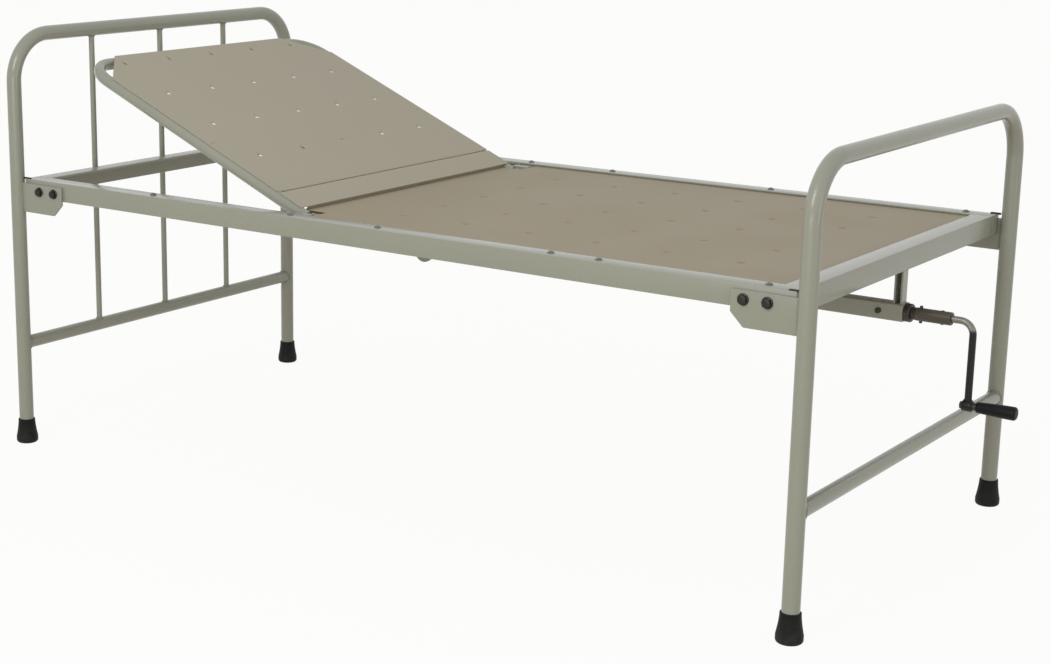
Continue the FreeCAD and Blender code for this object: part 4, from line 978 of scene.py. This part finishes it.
FIRST_BOLT = 70.5 * MM                   # of a gusset, from its leg's centre line
BOLT_PITCH = 44 * MM                     # between a gusset's two bolts
BOLT_DROP = 25 * MM                      # below the top of the flanges


def gusset_bolt_places():
    """X of the gussets' bolts and the side, for both ends and both sides."""
    span = (FOOT_X - HEAD_X) / 2
    return [(MIDDLE_X + end * (span - FIRST_BOLT - BOLT_PITCH * i), side) for end in (-1, 1) for i in (0, 1)
            for side in (-1, 1)]


FLANGE_BOLTS = (  # x from the hinge axis, thickness of what is clamped under the flange
    (-371 * MM, 4.0 * MM), (0.0, 4.0 * MM), (216 * MM, 5.2 * MM), (604 * MM, 1.2 * MM), (703 * MM, 5.2 * MM),
    (1029 * MM, 5.2 * MM))


def bolt_end(surface, start, direction, reach, radius):
    """Plain bolt end with a chamfer."""
    profile = [(-1 * MM, radius), (reach - 1 * MM, radius), (reach, radius - 1 * MM)]
    closed(surface, lathe(profile, start, direction, 24))


class BED_OT_fasteners(bpy.types.Operator):
    """Makes the bolts and nuts of the gussets and flanges"""
    bl_idname = "bed.fasteners"
    bl_label = "Bolts and nuts"

    def execute(self, context):
        heads, nuts = Surface(), Surface()
        z = DECK_Z - BOLT_DROP
        flats, collar_rise = 15 * MM, 1.0 * MM
        collar = [(0.0, 10.5 * MM), (collar_rise, 10.5 * MM), (1.6 * MM, 9.9 * MM), (2.4 * MM, 7.4 * MM)]
        for number, (x, side) in enumerate(gusset_bolt_places()):
            face = side * (LEG_Y + 2.5 * MM)
            out, back = (0, side, 0), (0, -side, 0)
            closed(heads, lathe(collar, (x, face, z), out, 40))
            hex_head(heads, (x, face + side * collar_rise, z), out, flats, 6.3 * MM, turn=0.4 + 0.9 * number)
            inner = side * (ANGLE_Y - ANGLE_THICK)
            hex_head(nuts, (x, inner, z), back, flats, 7.7 * MM, turn=0.2 + 0.7 * number)
            bolt_end(heads, (x, inner - side * 8 * MM, z), back, 2 * MM, 5 * MM)
        piece("gusset_bolt_heads", heads, "plated_bolts", "frame", ["gusset_bolts"])
        piece("gusset_nuts_hex", nuts, "plated_bolts", "frame", ["gusset_nuts"])
        heads, nuts = Surface(), Surface()
        radius, rise = 7.5 * MM, 4.5 * MM
        dome = (radius ** 2 + rise ** 2) / (2 * rise)
        lean = np.linspace(math.asin(radius / dome), 0.06, 9)
        profile = np.column_stack([rise - dome * (1 - np.cos(lean)), dome * np.sin(lean)])
        down = (0, 0, -1)
        for number, (along, clamp) in enumerate(FLANGE_BOLTS):
            x, under = HINGE_X + along, FLANGE_UNDER - clamp
            for side in (-1, 1):
                y = side * (ANGLE_Y - ANGLE_LEG / 2)
                closed(heads, lathe(profile, (x, y, DECK_Z), Z_AXIS, 32))
                hex_head(nuts, (x, y, under), down, 13 * MM, 6.2 * MM, turn=0.5 * number + side)
                bolt_end(heads, (x, y, under - 6.5 * MM), down, 2 * MM, 4 * MM)
        piece("flange_bolt_heads", heads, "flange_bolts", "frame", ["flange_bolts"])
        piece("flange_nuts_hex", nuts, "plated_bolts", "frame", ["flange_nuts"])
        return {"FINISHED"}


def holed_sheet(surface, place, rows, bounds, half, press, opening):
    """Cells round every hole of a sheet; bounds are the cells' edges along it, half its outer cells' edge."""
    lines = [-half] + [(a + b) / 2 for a, b in zip(HOLE_Y, HOLE_Y[1:])] + [half]
    for row, low, high in zip(rows, bounds, bounds[1:]):
        for y, left, right in zip(HOLE_Y, lines, lines[1:]):
            corners = [(low, left), (high, left), (high, right), (low, right)]
            hole_cell(surface, place, (row, y), corners, [CELL_SIDE] * 4, press, opening)
    return lines


class BED_OT_deck(bpy.types.Operator):
    """Presses the fixed deck sheet with its round holes"""
    bl_idname = "bed.deck"
    bl_label = "Deck sheet"

    def execute(self, context):
        detail = context.scene.bed_detail
        low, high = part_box("deck_sheet")
        notch_x = HINGE_X + 26 * MM
        notch_y = 352 * MM
        pitch = 147 * MM
        sag = 0.9 * MM
        rows = [HINGE_X + 165 * MM + pitch * i for i in range(6)]
        bounds = [rows[0] - pitch / 2] + [row + pitch / 2 for row in rows]
        rests = np.array([low.x, *(HINGE_X + at * MM for at in (86, 216, 532, 703, 1029)), high.x])

        def place(points):
            """Sheet's top, sagging a little between the supports: s sin^2(pi k) cos(pi y / 2h)."""
            share = np.interp(points[:, 0], rests, np.arange(len(rests)))
            drop = sag * np.sin(math.pi * share) ** 2 * np.cos(math.pi * points[:, 1] / (2 * high.y))
            return np.column_stack([points[:, 0], points[:, 1], FLANGE_UNDER + points[:, 2] - drop])

        sheet = Surface()
        lines = holed_sheet(sheet, place, rows, bounds, notch_y, detail.press, detail.opening)
        for left, right in zip(lines, lines[1:]):
            flat_patch(sheet, place, (low.x + FOLD_R, left), (notch_x, right), 4, CELL_SIDE)
            flat_patch(sheet, place, (notch_x, left), (bounds[0], right), 6, CELL_SIDE)
            flat_patch(sheet, place, (bounds[-1], left), (high.x, right), 8, CELL_SIDE)
            folded_strip(sheet, place, left, right, 12 * MM, (low.x + FOLD_R, -1), CELL_SIDE)
        for side in (-1, 1):
            inner, outer = sorted((side * notch_y, side * high.y))
            flat_patch(sheet, place, (notch_x, inner), (bounds[0], outer), 6, 4)
            flat_patch(sheet, place, (bounds[-1], inner), (high.x, outer), 8, 4)
            for start, end in zip(bounds, bounds[1:]):
                flat_patch(sheet, place, (start, inner), (end, outer), CELL_SIDE, 4)
        piece("deck_panel", sheet, "sheet_enamel", "frame", ["deck_sheet"], up=Z_AXIS)
        return {"FINISHED"}


def on_back(points):
    """From (distance to the hinge, across, above the tube's middle) to the raised backrest."""
    points = np.asarray(points, float)
    t, y, h = points[..., 0], points[..., 1], points[..., 2]
    c, s = math.cos(BACK_ANGLE), math.sin(BACK_ANGLE)
    return np.stack([HINGE_X - t * c + h * s, y, HINGE_Z + t * s + h * c], axis=-1)


def back_direction(vector):
    """Turns a direction as the backrest is turned."""
    return on_back(vector) - on_back((0, 0, 0))


BACK_HALF = 368 * MM                     # side tubes' centre lines
BACK_END = 677 * MM
BACK_R = 12.7 * MM
SHEET_TOP = BACK_R + SHEET_THICK
SHEET_HALF = 373 * MM
SHEET_END = 686 * MM
SHEET_START = 95.25 * MM
STRIP_END = 92.75 * MM
STRIP_START = 30 * MM
LIP_DEPTH = 8 * MM + SHEET_THICK
STIFFENER_AT = 300 * MM
STIFFENER_R = 9.5 * MM


def rolled_hem(surface, radius, half):
    """Edge of the hinge strip, rolled about the hinge axis so that it closes the slot at every angle.

    P(a, y) = H + r (cos a, sin a) in the backrest's own plane, from the strip's edge down past the deck.
    """
    start = math.atan2(SHEET_TOP, STRIP_START)
    angle, y = np.meshgrid(np.linspace(start, start - math.radians(30), 12), np.linspace(-half, half, 41),
                           indexing="ij")
    points = on_back(np.stack([radius * np.cos(angle), y, radius * np.sin(angle)], axis=-1))
    surface.add(points, [quads(*angle.shape)])


class BED_OT_backrest(bpy.types.Operator):
    """Bends the backrest's tube frame and lays its sheet and hinge strip on it"""
    bl_idname = "bed.backrest"
    bl_label = "Backrest"

    def execute(self, context):
        detail = context.scene.bed_detail
        start = HINGE_R - 0.4 * MM
        corners = [(start, -BACK_HALF, 0), (BACK_END, -BACK_HALF, 0), (BACK_END, BACK_HALF, 0),
                   (start, BACK_HALF, 0)]
        up = back_direction(Z_AXIS)
        side_tube = Surface()
        closed(side_tube, tube(on_back(rounded_path(corners, 67 * MM, 24)), up, BACK_R, 40, 0.03))
        painted("backrest_loop", side_tube, ["backrest_frame_tube"], "backrest")
        hinge = Surface()
        bore = HINGE_R - 1.6 * MM
        ends = [(0, HINGE_R), (2 * HINGE_HALF, HINGE_R), (2 * HINGE_HALF, bore), (0, bore)]
        closed(hinge, lathe(ends, (HINGE_X, -HINGE_HALF, HINGE_Z), Y_AXIS, 40), close_rows=True)
        painted("backrest_axle_tube", hinge, ["backrest_hinge_tube"], "backrest")
        brace = Surface()
        lift = BACK_R - STIFFENER_R
        coped_tube(brace, on_back((STIFFENER_AT, -BACK_HALF, lift)), on_back((STIFFENER_AT, BACK_HALF, lift)),
                   STIFFENER_R, (BACK_R, BACK_R), back_direction(X_AXIS))
        painted("backrest_brace", brace, ["backrest_stiffener"], "backrest")
        sag = 0.8 * MM

        def place(points):
            """Sheet's top on the tubes, dished a little between them: s sin^2(pi k) cos(pi y / 2h)."""
            share = np.interp(points[:, 0], [95 * MM, STIFFENER_AT, SHEET_END], [0, 1, 2])
            dish = sag * np.sin(math.pi * share) ** 2 * np.cos(math.pi * points[:, 1] / (2 * SHEET_HALF))
            return on_back(np.column_stack([points[:, 0], points[:, 1], points[:, 2] + SHEET_TOP - dish]))

        sheet = Surface()
        start, pitch = SHEET_START + FOLD_R, 140 * MM
        rows = [232 * MM + pitch * i for i in range(4)]
        bounds = [rows[0] - pitch / 2] + [row + pitch / 2 for row in rows[:-1]] + [SHEET_END]
        lines = holed_sheet(sheet, place, rows[:-1], bounds[:-1], SHEET_HALF, detail.press, detail.opening)
        for left, right in zip(lines, lines[1:]):
            flat_patch(sheet, place, (start, left), (bounds[0], right), 6, CELL_SIDE)
        low, high = bounds[-2:]
        cut = 92 * MM
        for y, left, right in zip(HOLE_Y, lines, lines[1:]):
            if abs(left) < SHEET_HALF and abs(right) < SHEET_HALF:
                outline = [(low, left), (high, left), (high, right), (low, right)]
                counts = [CELL_SIDE] * 4
            else:
                side = math.copysign(1, y)
                near = side * min(abs(left), abs(right))
                far = side * SHEET_HALF
                outline = [(low, near), (high, near), (high, far - side * cut), (high - cut, far), (low, far)]
                counts = [CELL_SIDE, 4, 8, 2, CELL_SIDE]
            hole_cell(sheet, place, (rows[-1], y), outline, counts, detail.press, detail.opening)
        for left, right in zip(lines, lines[1:]):
            step = (right - left) / CELL_SIDE
            first, last = (step * (abs(edge) >= SHEET_HALF) for edge in (left, right))
            count = round((right - left - first - last) / step)
            folded_strip(sheet, place, left + first, right - last, LIP_DEPTH, (start, -1), count)
        piece("backrest_panel", sheet, "back_enamel", "backrest", ["backrest_sheet"], up=up)
        strip = Surface()
        end = STRIP_END - FOLD_R
        flat_patch(strip, place, (STRIP_START, -SHEET_HALF), (end, SHEET_HALF), 6, 40)
        folded_strip(strip, place, -0.95 * SHEET_HALF, 0.95 * SHEET_HALF, LIP_DEPTH, (end, 1), 38)
        rolled_hem(strip, 33.6 * MM, 350 * MM)
        piece("hinge_side_strip", strip, "back_enamel", "backrest", ["backrest_hinge_strip"],
              up=up)
        return {"FINISHED"}


def thread(surface, start, length_x, radius, pitch, depth):
    """Trapezoidal screw: r = R - d clip(2 |2 f - 1| - 1/2, 0, 1), with f the fraction of x / p - a / 2 pi."""
    x = np.linspace(0, length_x, int(length_x / pitch) * 10 + 1)
    angle = around(32)
    f = np.mod(x[:, None] / pitch - angle[None, :] / (2 * math.pi), 1)
    run = np.clip(np.minimum(x, length_x - x) / pitch, 0, 1)
    r = radius - depth * np.clip(2 * np.abs(2 * f - 1) - 0.5, 0, 1) * run[:, None]
    points = np.stack([np.broadcast_to(x[:, None], r.shape), r * np.cos(angle), r * np.sin(angle)], axis=-1)
    closed(surface, points + np.array(start, float))


class BED_OT_drive(bpy.types.Operator):
    """Makes the guide channel, its end plate, studs and hangers, and the push tube"""
    bl_idname = "bed.drive"
    bl_label = "Drive under the deck"

    def execute(self, context):
        def square(half, radius, x):
            """Square outline with rounded corners, across the channel's axis."""
            loop = rounded_loop([(-half, -half), (half, -half), (half, half), (-half, half)], radius, 12)
            return np.column_stack([np.full(len(loop), x), loop[:, 0], DRIVE_Z + loop[:, 1]])

        start, end = CHANNEL_X
        inner = CHANNEL_HALF - 2.5 * MM
        round_out, round_in = 3.0 * MM, 0.8 * MM
        channel = Surface()
        rows = [square(CHANNEL_HALF, round_out, start), square(CHANNEL_HALF, round_out, end),
                square(inner, round_in, end), square(inner, round_in, start)]
        closed(channel, np.stack(rows), close_rows=True)
        painted("guide_channel", channel, ["drive_channel"])
        face = Surface()
        low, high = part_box("channel_end_plate")
        bore = 9.05 * MM
        outline = square(CHANNEL_HALF, round_out, low.x)
        angle = np.arctan2(outline[:, 2] - DRIVE_Z, outline[:, 1])
        circle = np.column_stack([outline[:, 0], bore * np.cos(angle), DRIVE_Z + bore * np.sin(angle)])
        shift = np.array([high.x - low.x, 0, 0])
        closed(face, np.stack([circle, outline, outline + shift, circle + shift]), close_rows=True)
        painted("channel_face_plate", face, ["channel_end_plate"])
        studs = Surface()
        low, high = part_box("channel_studs")
        for side in (-1, 1):
            hex_head(studs, ((low.x + high.x) / 2, side * CHANNEL_HALF, DRIVE_Z), (0, side, 0),
                     10 * MM, 3.8 * MM, turn=0.3 * side)
        piece("channel_stud_heads", studs, "plated_bolts", "frame", ["channel_studs"])
        for node in ("foot_hanger", "drive_hanger"):
            low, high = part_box(node)
            wall = 3 * MM
            corners = [(low.x, low.y), (low.x, high.y), (high.x, high.y), (high.x, low.y),
                       (high.x - wall, low.y), (high.x - wall, high.y - wall),
                       (low.x + wall, high.y - wall), (low.x + wall, low.y)]
            loop = rounded_loop(corners, [0, 3 * MM, 3 * MM, 0, 0, 0.6 * MM, 0.6 * MM, 0], 5)
            post = Surface()
            plate(post, loop, (0, 0, low.z), Z_AXIS, X_AXIS, Y_AXIS, high.z - low.z, 0.0)
            painted(node + "_section", post, [node])
        low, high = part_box("push_tube")
        rod = Surface()
        radius = (high.y - low.y) / 2
        bore, span = radius - 2 * MM, high.x - low.x
        profile = [(0, radius), (span, radius), (span, bore), (0, bore)]
        closed(rod, lathe(profile, (low.x, 0, DRIVE_Z), X_AXIS, 40), close_rows=True)
        piece("push_rod_tube", rod, "oiled_steel", "drive", ["push_tube"])
        return {"FINISHED"}


class BED_OT_crank(bpy.types.Operator):
    """Cuts the drive screw and makes the collar, sleeve, crank and hand grip"""
    bl_idname = "bed.crank"
    bl_label = "Crank"

    def execute(self, context):
        low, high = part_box("screw_shaft")
        collar_low, collar_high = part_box("thrust_collar")
        sleeve_low, sleeve_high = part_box("coupling_sleeve")
        eye_low, eye_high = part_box("crank_eye")
        grip_low, grip_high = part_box("hand_grip")
        rod_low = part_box("crank_rod")[0]
        eye_z = (eye_low.z + eye_high.z) / 2
        arm_x = (eye_low.x + eye_high.x) / 2
        step = CHANNEL_X[1] - 8.6 * MM
        screw = Surface()
        thread(screw, (low.x, 0, DRIVE_Z), step - low.x, 8 * MM, 4 * MM, 1.8 * MM)
        journal = [(0, 8.6 * MM), (0.4 * MM, 9 * MM), (high.x - step, 9 * MM)]
        closed(screw, lathe(journal, (step, 0, DRIVE_Z), X_AXIS, 40))
        piece("drive_screw", screw, "oiled_steel", "crank", ["screw_shaft"])
        collar = Surface()
        turn = np.linspace(0, math.pi / 2, 6)
        width = collar_high.x - collar_low.x
        radius = (collar_high.y - collar_low.y) / 2
        corner, hub, reach = 2 * MM, 11.5 * MM, sleeve_low.x - collar_low.x
        rim = np.column_stack([width - corner + corner * np.sin(turn), radius - corner * (1 - np.cos(turn))])
        profile = np.concatenate([[[0, 9.2 * MM], [0, radius - 0.5 * MM], [0.5 * MM, radius]], rim,
                                  [[width, hub], [reach, hub], [reach, 9.02 * MM]]])
        closed(collar, lathe(profile, (collar_low.x, 0, DRIVE_Z), X_AXIS, 48))
        piece("stop_collar", collar, "oiled_steel", "crank", ["thrust_collar"])
        sleeve = Surface()
        span = sleeve_high.x - sleeve_low.x
        r = (sleeve_high.y - sleeve_low.y) / 2
        profile = [(0, 9.1 * MM), (0, r - 1 * MM), (1 * MM, r), (span - 1 * MM, r), (span, r - 1 * MM),
                   (span, 6.6 * MM)]
        closed(sleeve, lathe(profile, (sleeve_low.x, 0, DRIVE_Z), X_AXIS, 48))
        piece("crank_sleeve", sleeve, "sleeve_steel", "crank", ["coupling_sleeve"])
        pins = Surface()
        for x, reach in ((sleeve_low.x + 9 * MM, 16 * MM), (sleeve_high.x - 18 * MM, 13 * MM)):
            ends = [(0, 2.4 * MM), (0.6 * MM, 3 * MM), (2 * reach - 0.6 * MM, 3 * MM), (2 * reach, 2.4 * MM)]
            closed(pins, lathe(ends, (x, 0, DRIVE_Z - reach), Z_AXIS, 24))
        piece("sleeve_pins", pins, "oiled_steel", "crank", ["crank_cross_pins"])
        bar = Surface()
        line = rounded_path([(rod_low.x + 1 * MM, 0, DRIVE_Z), (arm_x, 0, DRIVE_Z),
                             (arm_x, 0, eye_z + 8 * MM)], 24 * MM, 20)
        closed(bar, tube(line, Y_AXIS, CRANK_ROD_R, 32, 0.03))
        piece("crank_arm", bar, "crank_rod", "crank", ["crank_rod"])
        eye = Surface()
        wide = eye_high.x - eye_low.x
        eye_r = (eye_high.y - eye_low.y) / 2
        edge = 1.5 * MM
        first = np.column_stack([edge * (1 - np.cos(turn)), eye_r - edge * (1 - np.sin(turn))])
        last = np.column_stack([wide - first[::-1, 0], first[::-1, 1]])
        closed(eye, lathe(np.concatenate([first, last]), (eye_low.x, 0, eye_z), X_AXIS, 40))
        piece("arm_eye", eye, "crank_rod", "crank", ["crank_eye"])
        pin = Surface()
        hex_head(pin, (eye_low.x, 0, eye_z), (-1, 0, 0), 13 * MM, 4.7 * MM, turn=0.2)
        washer = [(0, 7 * MM), (grip_low.x - eye_high.x - 0.5 * MM, 7 * MM)]
        closed(pin, lathe(washer, (eye_high.x, 0, eye_z), X_AXIS, 32))
        shank = [(0, 4 * MM), (grip_high.x - 5.5 * MM - eye_low.x, 4 * MM)]
        closed(pin, lathe(shank, (eye_low.x, 0, eye_z), X_AXIS, 24))
        piece("grip_bolt", pin, "oiled_steel", "crank", ["grip_pin"])
        grip = Surface()
        span = grip_high.x - grip_low.x
        nose_r, neck = 5 * MM, 1.2 * MM
        u = np.linspace(0, 1, 20)[1:]
        swell = np.interp(u, [0, 0.3, 0.6, 1], [10, 11, 12, 12.5])
        swell = np.convolve(np.pad(swell, 2, mode="edge"), np.ones(5) / 5, mode="valid") * MM
        side = np.column_stack([neck + u * (span - neck - nose_r), swell])
        nose_turn = np.linspace(0, math.pi / 2, 8)[1:]
        nose = np.column_stack([span - nose_r + nose_r * np.sin(nose_turn),
                                swell[-1] - nose_r * (1 - np.cos(nose_turn))])
        profile = np.concatenate([[[0, 4.1 * MM], [0, 8.8 * MM], [0.35 * MM, 9.6 * MM], [neck, 10 * MM]],
                                  side, nose, [[span, 2 * MM]]])
        closed(grip, lathe(profile, (grip_low.x, 0, eye_z), X_AXIS, 48))
        piece("turning_grip", grip, "grip_skin", "grip", ["hand_grip"])
        return {"FINISHED"}


class BED_OT_welds(bpy.types.Operator):
    """Lays the weld beads of the frame, the backrest and the crank"""
    bl_idname = "bed.welds"
    bl_label = "Welds"

    def execute(self, context):
        detail = context.scene.bed_detail
        size, pitch = detail.weld_radius, detail.ripple
        beads = Surface()
        inner_y, clear = ANGLE_Y - ANGLE_THICK, 2 * MM
        for name, leg_x, end in ENDS:
            face = MIDDLE_X + end * (ANGLE_END - ANGLE_THICK)
            plate_x = leg_x - end * 15.4 * MM
            for near, side in SIDES:
                saddle_bead(beads, (leg_x, side * LEG_Y, RAIL_Z), (0, -side, 0), Z_AXIS, RAIL_R, BOW_R, size,
                            pitch)
                low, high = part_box("gusset_%s_%s" % (name, near))
                for y in (low.y, high.y):
                    line_bead(beads, (plate_x, y, low.z + clear), (plate_x, y, high.z - clear), size, pitch)
                line_bead(beads, (face, side * inner_y, DECK_Z - ANGLE_LEG + clear),
                          (face, side * inner_y, FLANGE_UNDER - 3 * MM), size, pitch)
        for number in BARS:
            y = bar_place(number)[1]
            for z, sign, big in ((RAIL_Z, 1, RAIL_R), (HEAD_TOP, -1, BOW_R)):
                saddle_bead(beads, (HEAD_X, y, z), (0, 0, sign), Y_AXIS, BAR_R, big, size * 0.8, pitch)
        for node in ("foot_hanger", "drive_hanger"):
            low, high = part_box(node)
            for x in (low.x, high.x):
                line_bead(beads, (x, low.y + MM, low.z), (x, high.y - MM, low.z), size * 0.8, pitch)
        piece("frame_welds", beads, "weld_enamel", "frame")
        # Near-black beads on the flange tops beside each leg, at the gap between a rail's end and the end
        # angle.
        dark_beads = Surface()
        for end in (-1, 1):
            for side in (-1, 1):
                start, reach = MIDDLE_X + end * (ANGLE_END - 16 * MM), end * 22.5 * MM
                y, z = side * (ANGLE_Y - 3 * MM), DECK_Z + 0.4 * MM
                line_bead(dark_beads, (start, y, z), (start + reach, y, z), 2.3 * MM, pitch)
        piece("corner_tacks", dark_beads, "burnt_weld", "frame")
        back = Surface()
        along = back_direction(X_AXIS)
        out = spokes(around(160), *basis(Y_AXIS)[1:])
        plate_size = size * 0.8 * (1 + RIPPLE_DEPTH * np.sin(40 * around(160)))
        for side in (-1, 1):
            saddle_bead(back, on_back((0, side * BACK_HALF, 0)), along, Y_AXIS, BACK_R, HINGE_R, size * 0.9,
                        pitch)
            saddle_bead(back, on_back((STIFFENER_AT, side * BACK_HALF, BACK_R - STIFFENER_R)), (0, -side, 0),
                        along, STIFFENER_R, BACK_R, size * 0.8, pitch)
            for y in (14 * MM, 20 * MM):
                seam = np.array([HINGE_X, side * y, HINGE_Z]) + HINGE_R * out
                seam_bead(back, seam, out, Y_AXIS, plate_size, 8)
        piece("backrest_welds", back, "weld_enamel", "backrest")
        crank = Surface()
        eye_low, eye_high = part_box("crank_eye")
        arm_x, eye_z = (eye_low.x + eye_high.x) / 2, (eye_low.z + eye_high.z) / 2
        saddle_bead(crank, (arm_x, 0, eye_z), Z_AXIS, X_AXIS, CRANK_ROD_R, (eye_high.y - eye_low.y) / 2,
                    size * 0.6, pitch)
        piece("crank_weld", crank, "crank_rod", "crank")
        return {"FINISHED"}


WHITE = (1.0, 1.0, 1.0, 1.0)
FLOOR_REACH = 60.0
LAMPS = (  # name of its setting, place, width and height
    ("key", (0.2, -3.6, 2.9), (1.6, 1.6)), ("fill", (3.9, -0.5, 1.05), (0.5, 1.8)),
    ("low", (1.0, -4.0, 0.7), (2.4, 0.8)))
LAMPS_AIM = Vector((0.0, 0.0, 0.45))
CAMERA_PLACE = (2.15102, -3.31843, 1.28642)
CAMERA_TURN = (("Z", 38.4818), ("X", 76.7277), ("Y", -0.7333))
CAMERA_LENS = {"sensor_fit": "HORIZONTAL", "sensor_width": 36.0, "lens": 66.552, "shift_x": 0.1539,
               "shift_y": -0.0161, "clip_start": 0.1, "clip_end": 60.0}


def seen_directly(tree):
    """Share of 1 for the rays of the camera, of gloss and of glass, which see the white surround."""
    path = tree.nodes.new("ShaderNodeLightPath")
    seen = maths(tree, "ADD", path.outputs["Is Camera Ray"], path.outputs["Is Glossy Ray"], True)
    return maths(tree, "ADD", seen, path.outputs["Is Transmission Ray"], True)


def output_mix(tree, share, first, second, kind):
    """Sends a mix of two shaders to the material's or the world's output."""
    mix = tree.nodes.new("ShaderNodeMixShader")
    for socket, end in zip(mix.inputs, (share, first, second)):
        tree.links.new(end, socket)
    output = next(n for n in tree.nodes if n.type == kind)
    tree.links.new(mix.outputs[0], output.inputs["Surface"])


class BED_OT_stage(bpy.types.Operator):
    """Makes the floor, the lamps, the room light and the camera"""
    bl_idname = "bed.stage"
    bl_label = "Stage"

    def execute(self, context):
        stage = context.scene.bed_stage
        floor = Surface()
        p = np.linspace(-FLOOR_REACH, FLOOR_REACH, 3)
        grid = np.stack([*np.meshgrid(p, p, indexing="ij"), np.zeros((3, 3))], axis=-1)
        floor.add(grid, [quads(3, 3)])
        mesh = bpy.data.meshes.new("floor")
        filled(mesh, floor)
        flipped_up(mesh, Z_AXIS)
        tree, shader = material("floor")
        shader.inputs["Base Color"].default_value = (0.80, 0.73, 0.60, 1.0)
        shader.inputs["Roughness"].default_value = 0.9
        shader.inputs["Specular IOR Level"].default_value = 0.1
        white = tree.nodes.new("ShaderNodeEmission")
        seen = maths(tree, "MULTIPLY", seen_directly(tree), stage.floor_white)
        output_mix(tree, seen, shader.outputs[0], white.outputs[0], "OUTPUT_MATERIAL")
        mesh.materials.append(FINISHES["floor"])
        ground = bpy.data.objects.new("floor", mesh)
        context.scene.collection.objects.link(ground)

        world = bpy.data.worlds.new("room")
        context.scene.world = world
        world.use_nodes = True
        tree = world.node_tree
        room = next(n for n in tree.nodes if n.type == "BACKGROUND")
        surround = tree.nodes.new("ShaderNodeBackground")
        for background, strength in ((room, stage.sky), (surround, 1.0)):
            background.inputs["Color"].default_value = WHITE
            background.inputs["Strength"].default_value = strength
        output_mix(tree, seen_directly(tree), room.outputs[0], surround.outputs[0], "OUTPUT_WORLD")

        for name, place, (wide, high) in LAMPS:
            data = bpy.data.lights.new(name, "AREA")
            data.shape = "RECTANGLE"
            data.size, data.size_y = wide, high
            data.energy = getattr(stage, name)
            lamp = bpy.data.objects.new(name, data)
            lamp.location = place
            lamp.visible_camera = False
            lamp.rotation_euler = (LAMPS_AIM - lamp.location).to_track_quat("-Z", "Y").to_euler()
            context.scene.collection.objects.link(lamp)

        data = bpy.data.cameras.new("camera")
        for name, value in CAMERA_LENS.items():
            setattr(data, name, value)
        camera = bpy.data.objects.new("camera", data)
        turn = Matrix()
        for axis, degrees in CAMERA_TURN:
            turn = turn @ Matrix.Rotation(math.radians(degrees), 4, axis)
        camera.matrix_world = Matrix.Translation(CAMERA_PLACE) @ turn
        context.scene.collection.objects.link(camera)
        context.scene.camera = camera
        context.scene.view_settings.view_transform = "Standard"
        return {"FINISHED"}


class BED_PT_panel(bpy.types.Panel):
    """Lists the steps in the sidebar"""
    bl_label = "Ward bed"
    bl_idname = "BED_PT_panel"
    bl_space_type = "VIEW_3D"
    bl_region_type = "UI"
    bl_category = "Ward bed"

    def draw(self, context):
        for step in STEPS:
            self.layout.operator(step.bl_idname)


SETTINGS = (("bed_paint", PaintSettings), ("bed_metal", MetalSettings), ("bed_soft", SoftSettings),
            ("bed_detail", DetailSettings), ("bed_stage", StageSettings))
STEPS = (BED_OT_finishes, BED_OT_bows, BED_OT_ferrules, BED_OT_bed_frame, BED_OT_fasteners, BED_OT_deck,
         BED_OT_backrest, BED_OT_drive, BED_OT_crank, BED_OT_welds, BED_OT_stage)


def register():
    """Registers the settings, the steps and the panel."""
    for name, kind in SETTINGS:
        bpy.utils.register_class(kind)
        setattr(bpy.types.Scene, name, PointerProperty(type=kind))
    for step in STEPS:
        bpy.utils.register_class(step)
    bpy.utils.register_class(BED_PT_panel)


def unregister():
    """Takes out what register put in."""
    bpy.utils.unregister_class(BED_PT_panel)
    for step in reversed(STEPS):
        bpy.utils.unregister_class(step)
    for name, kind in reversed(SETTINGS):
        delattr(bpy.types.Scene, name)
        bpy.utils.unregister_class(kind)


def main():
    """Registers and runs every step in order."""
    register()
    for step in STEPS:
        group, name = step.bl_idname.split(".")
        getattr(getattr(bpy.ops, group), name)()


if __name__ == "__main__":
    main()
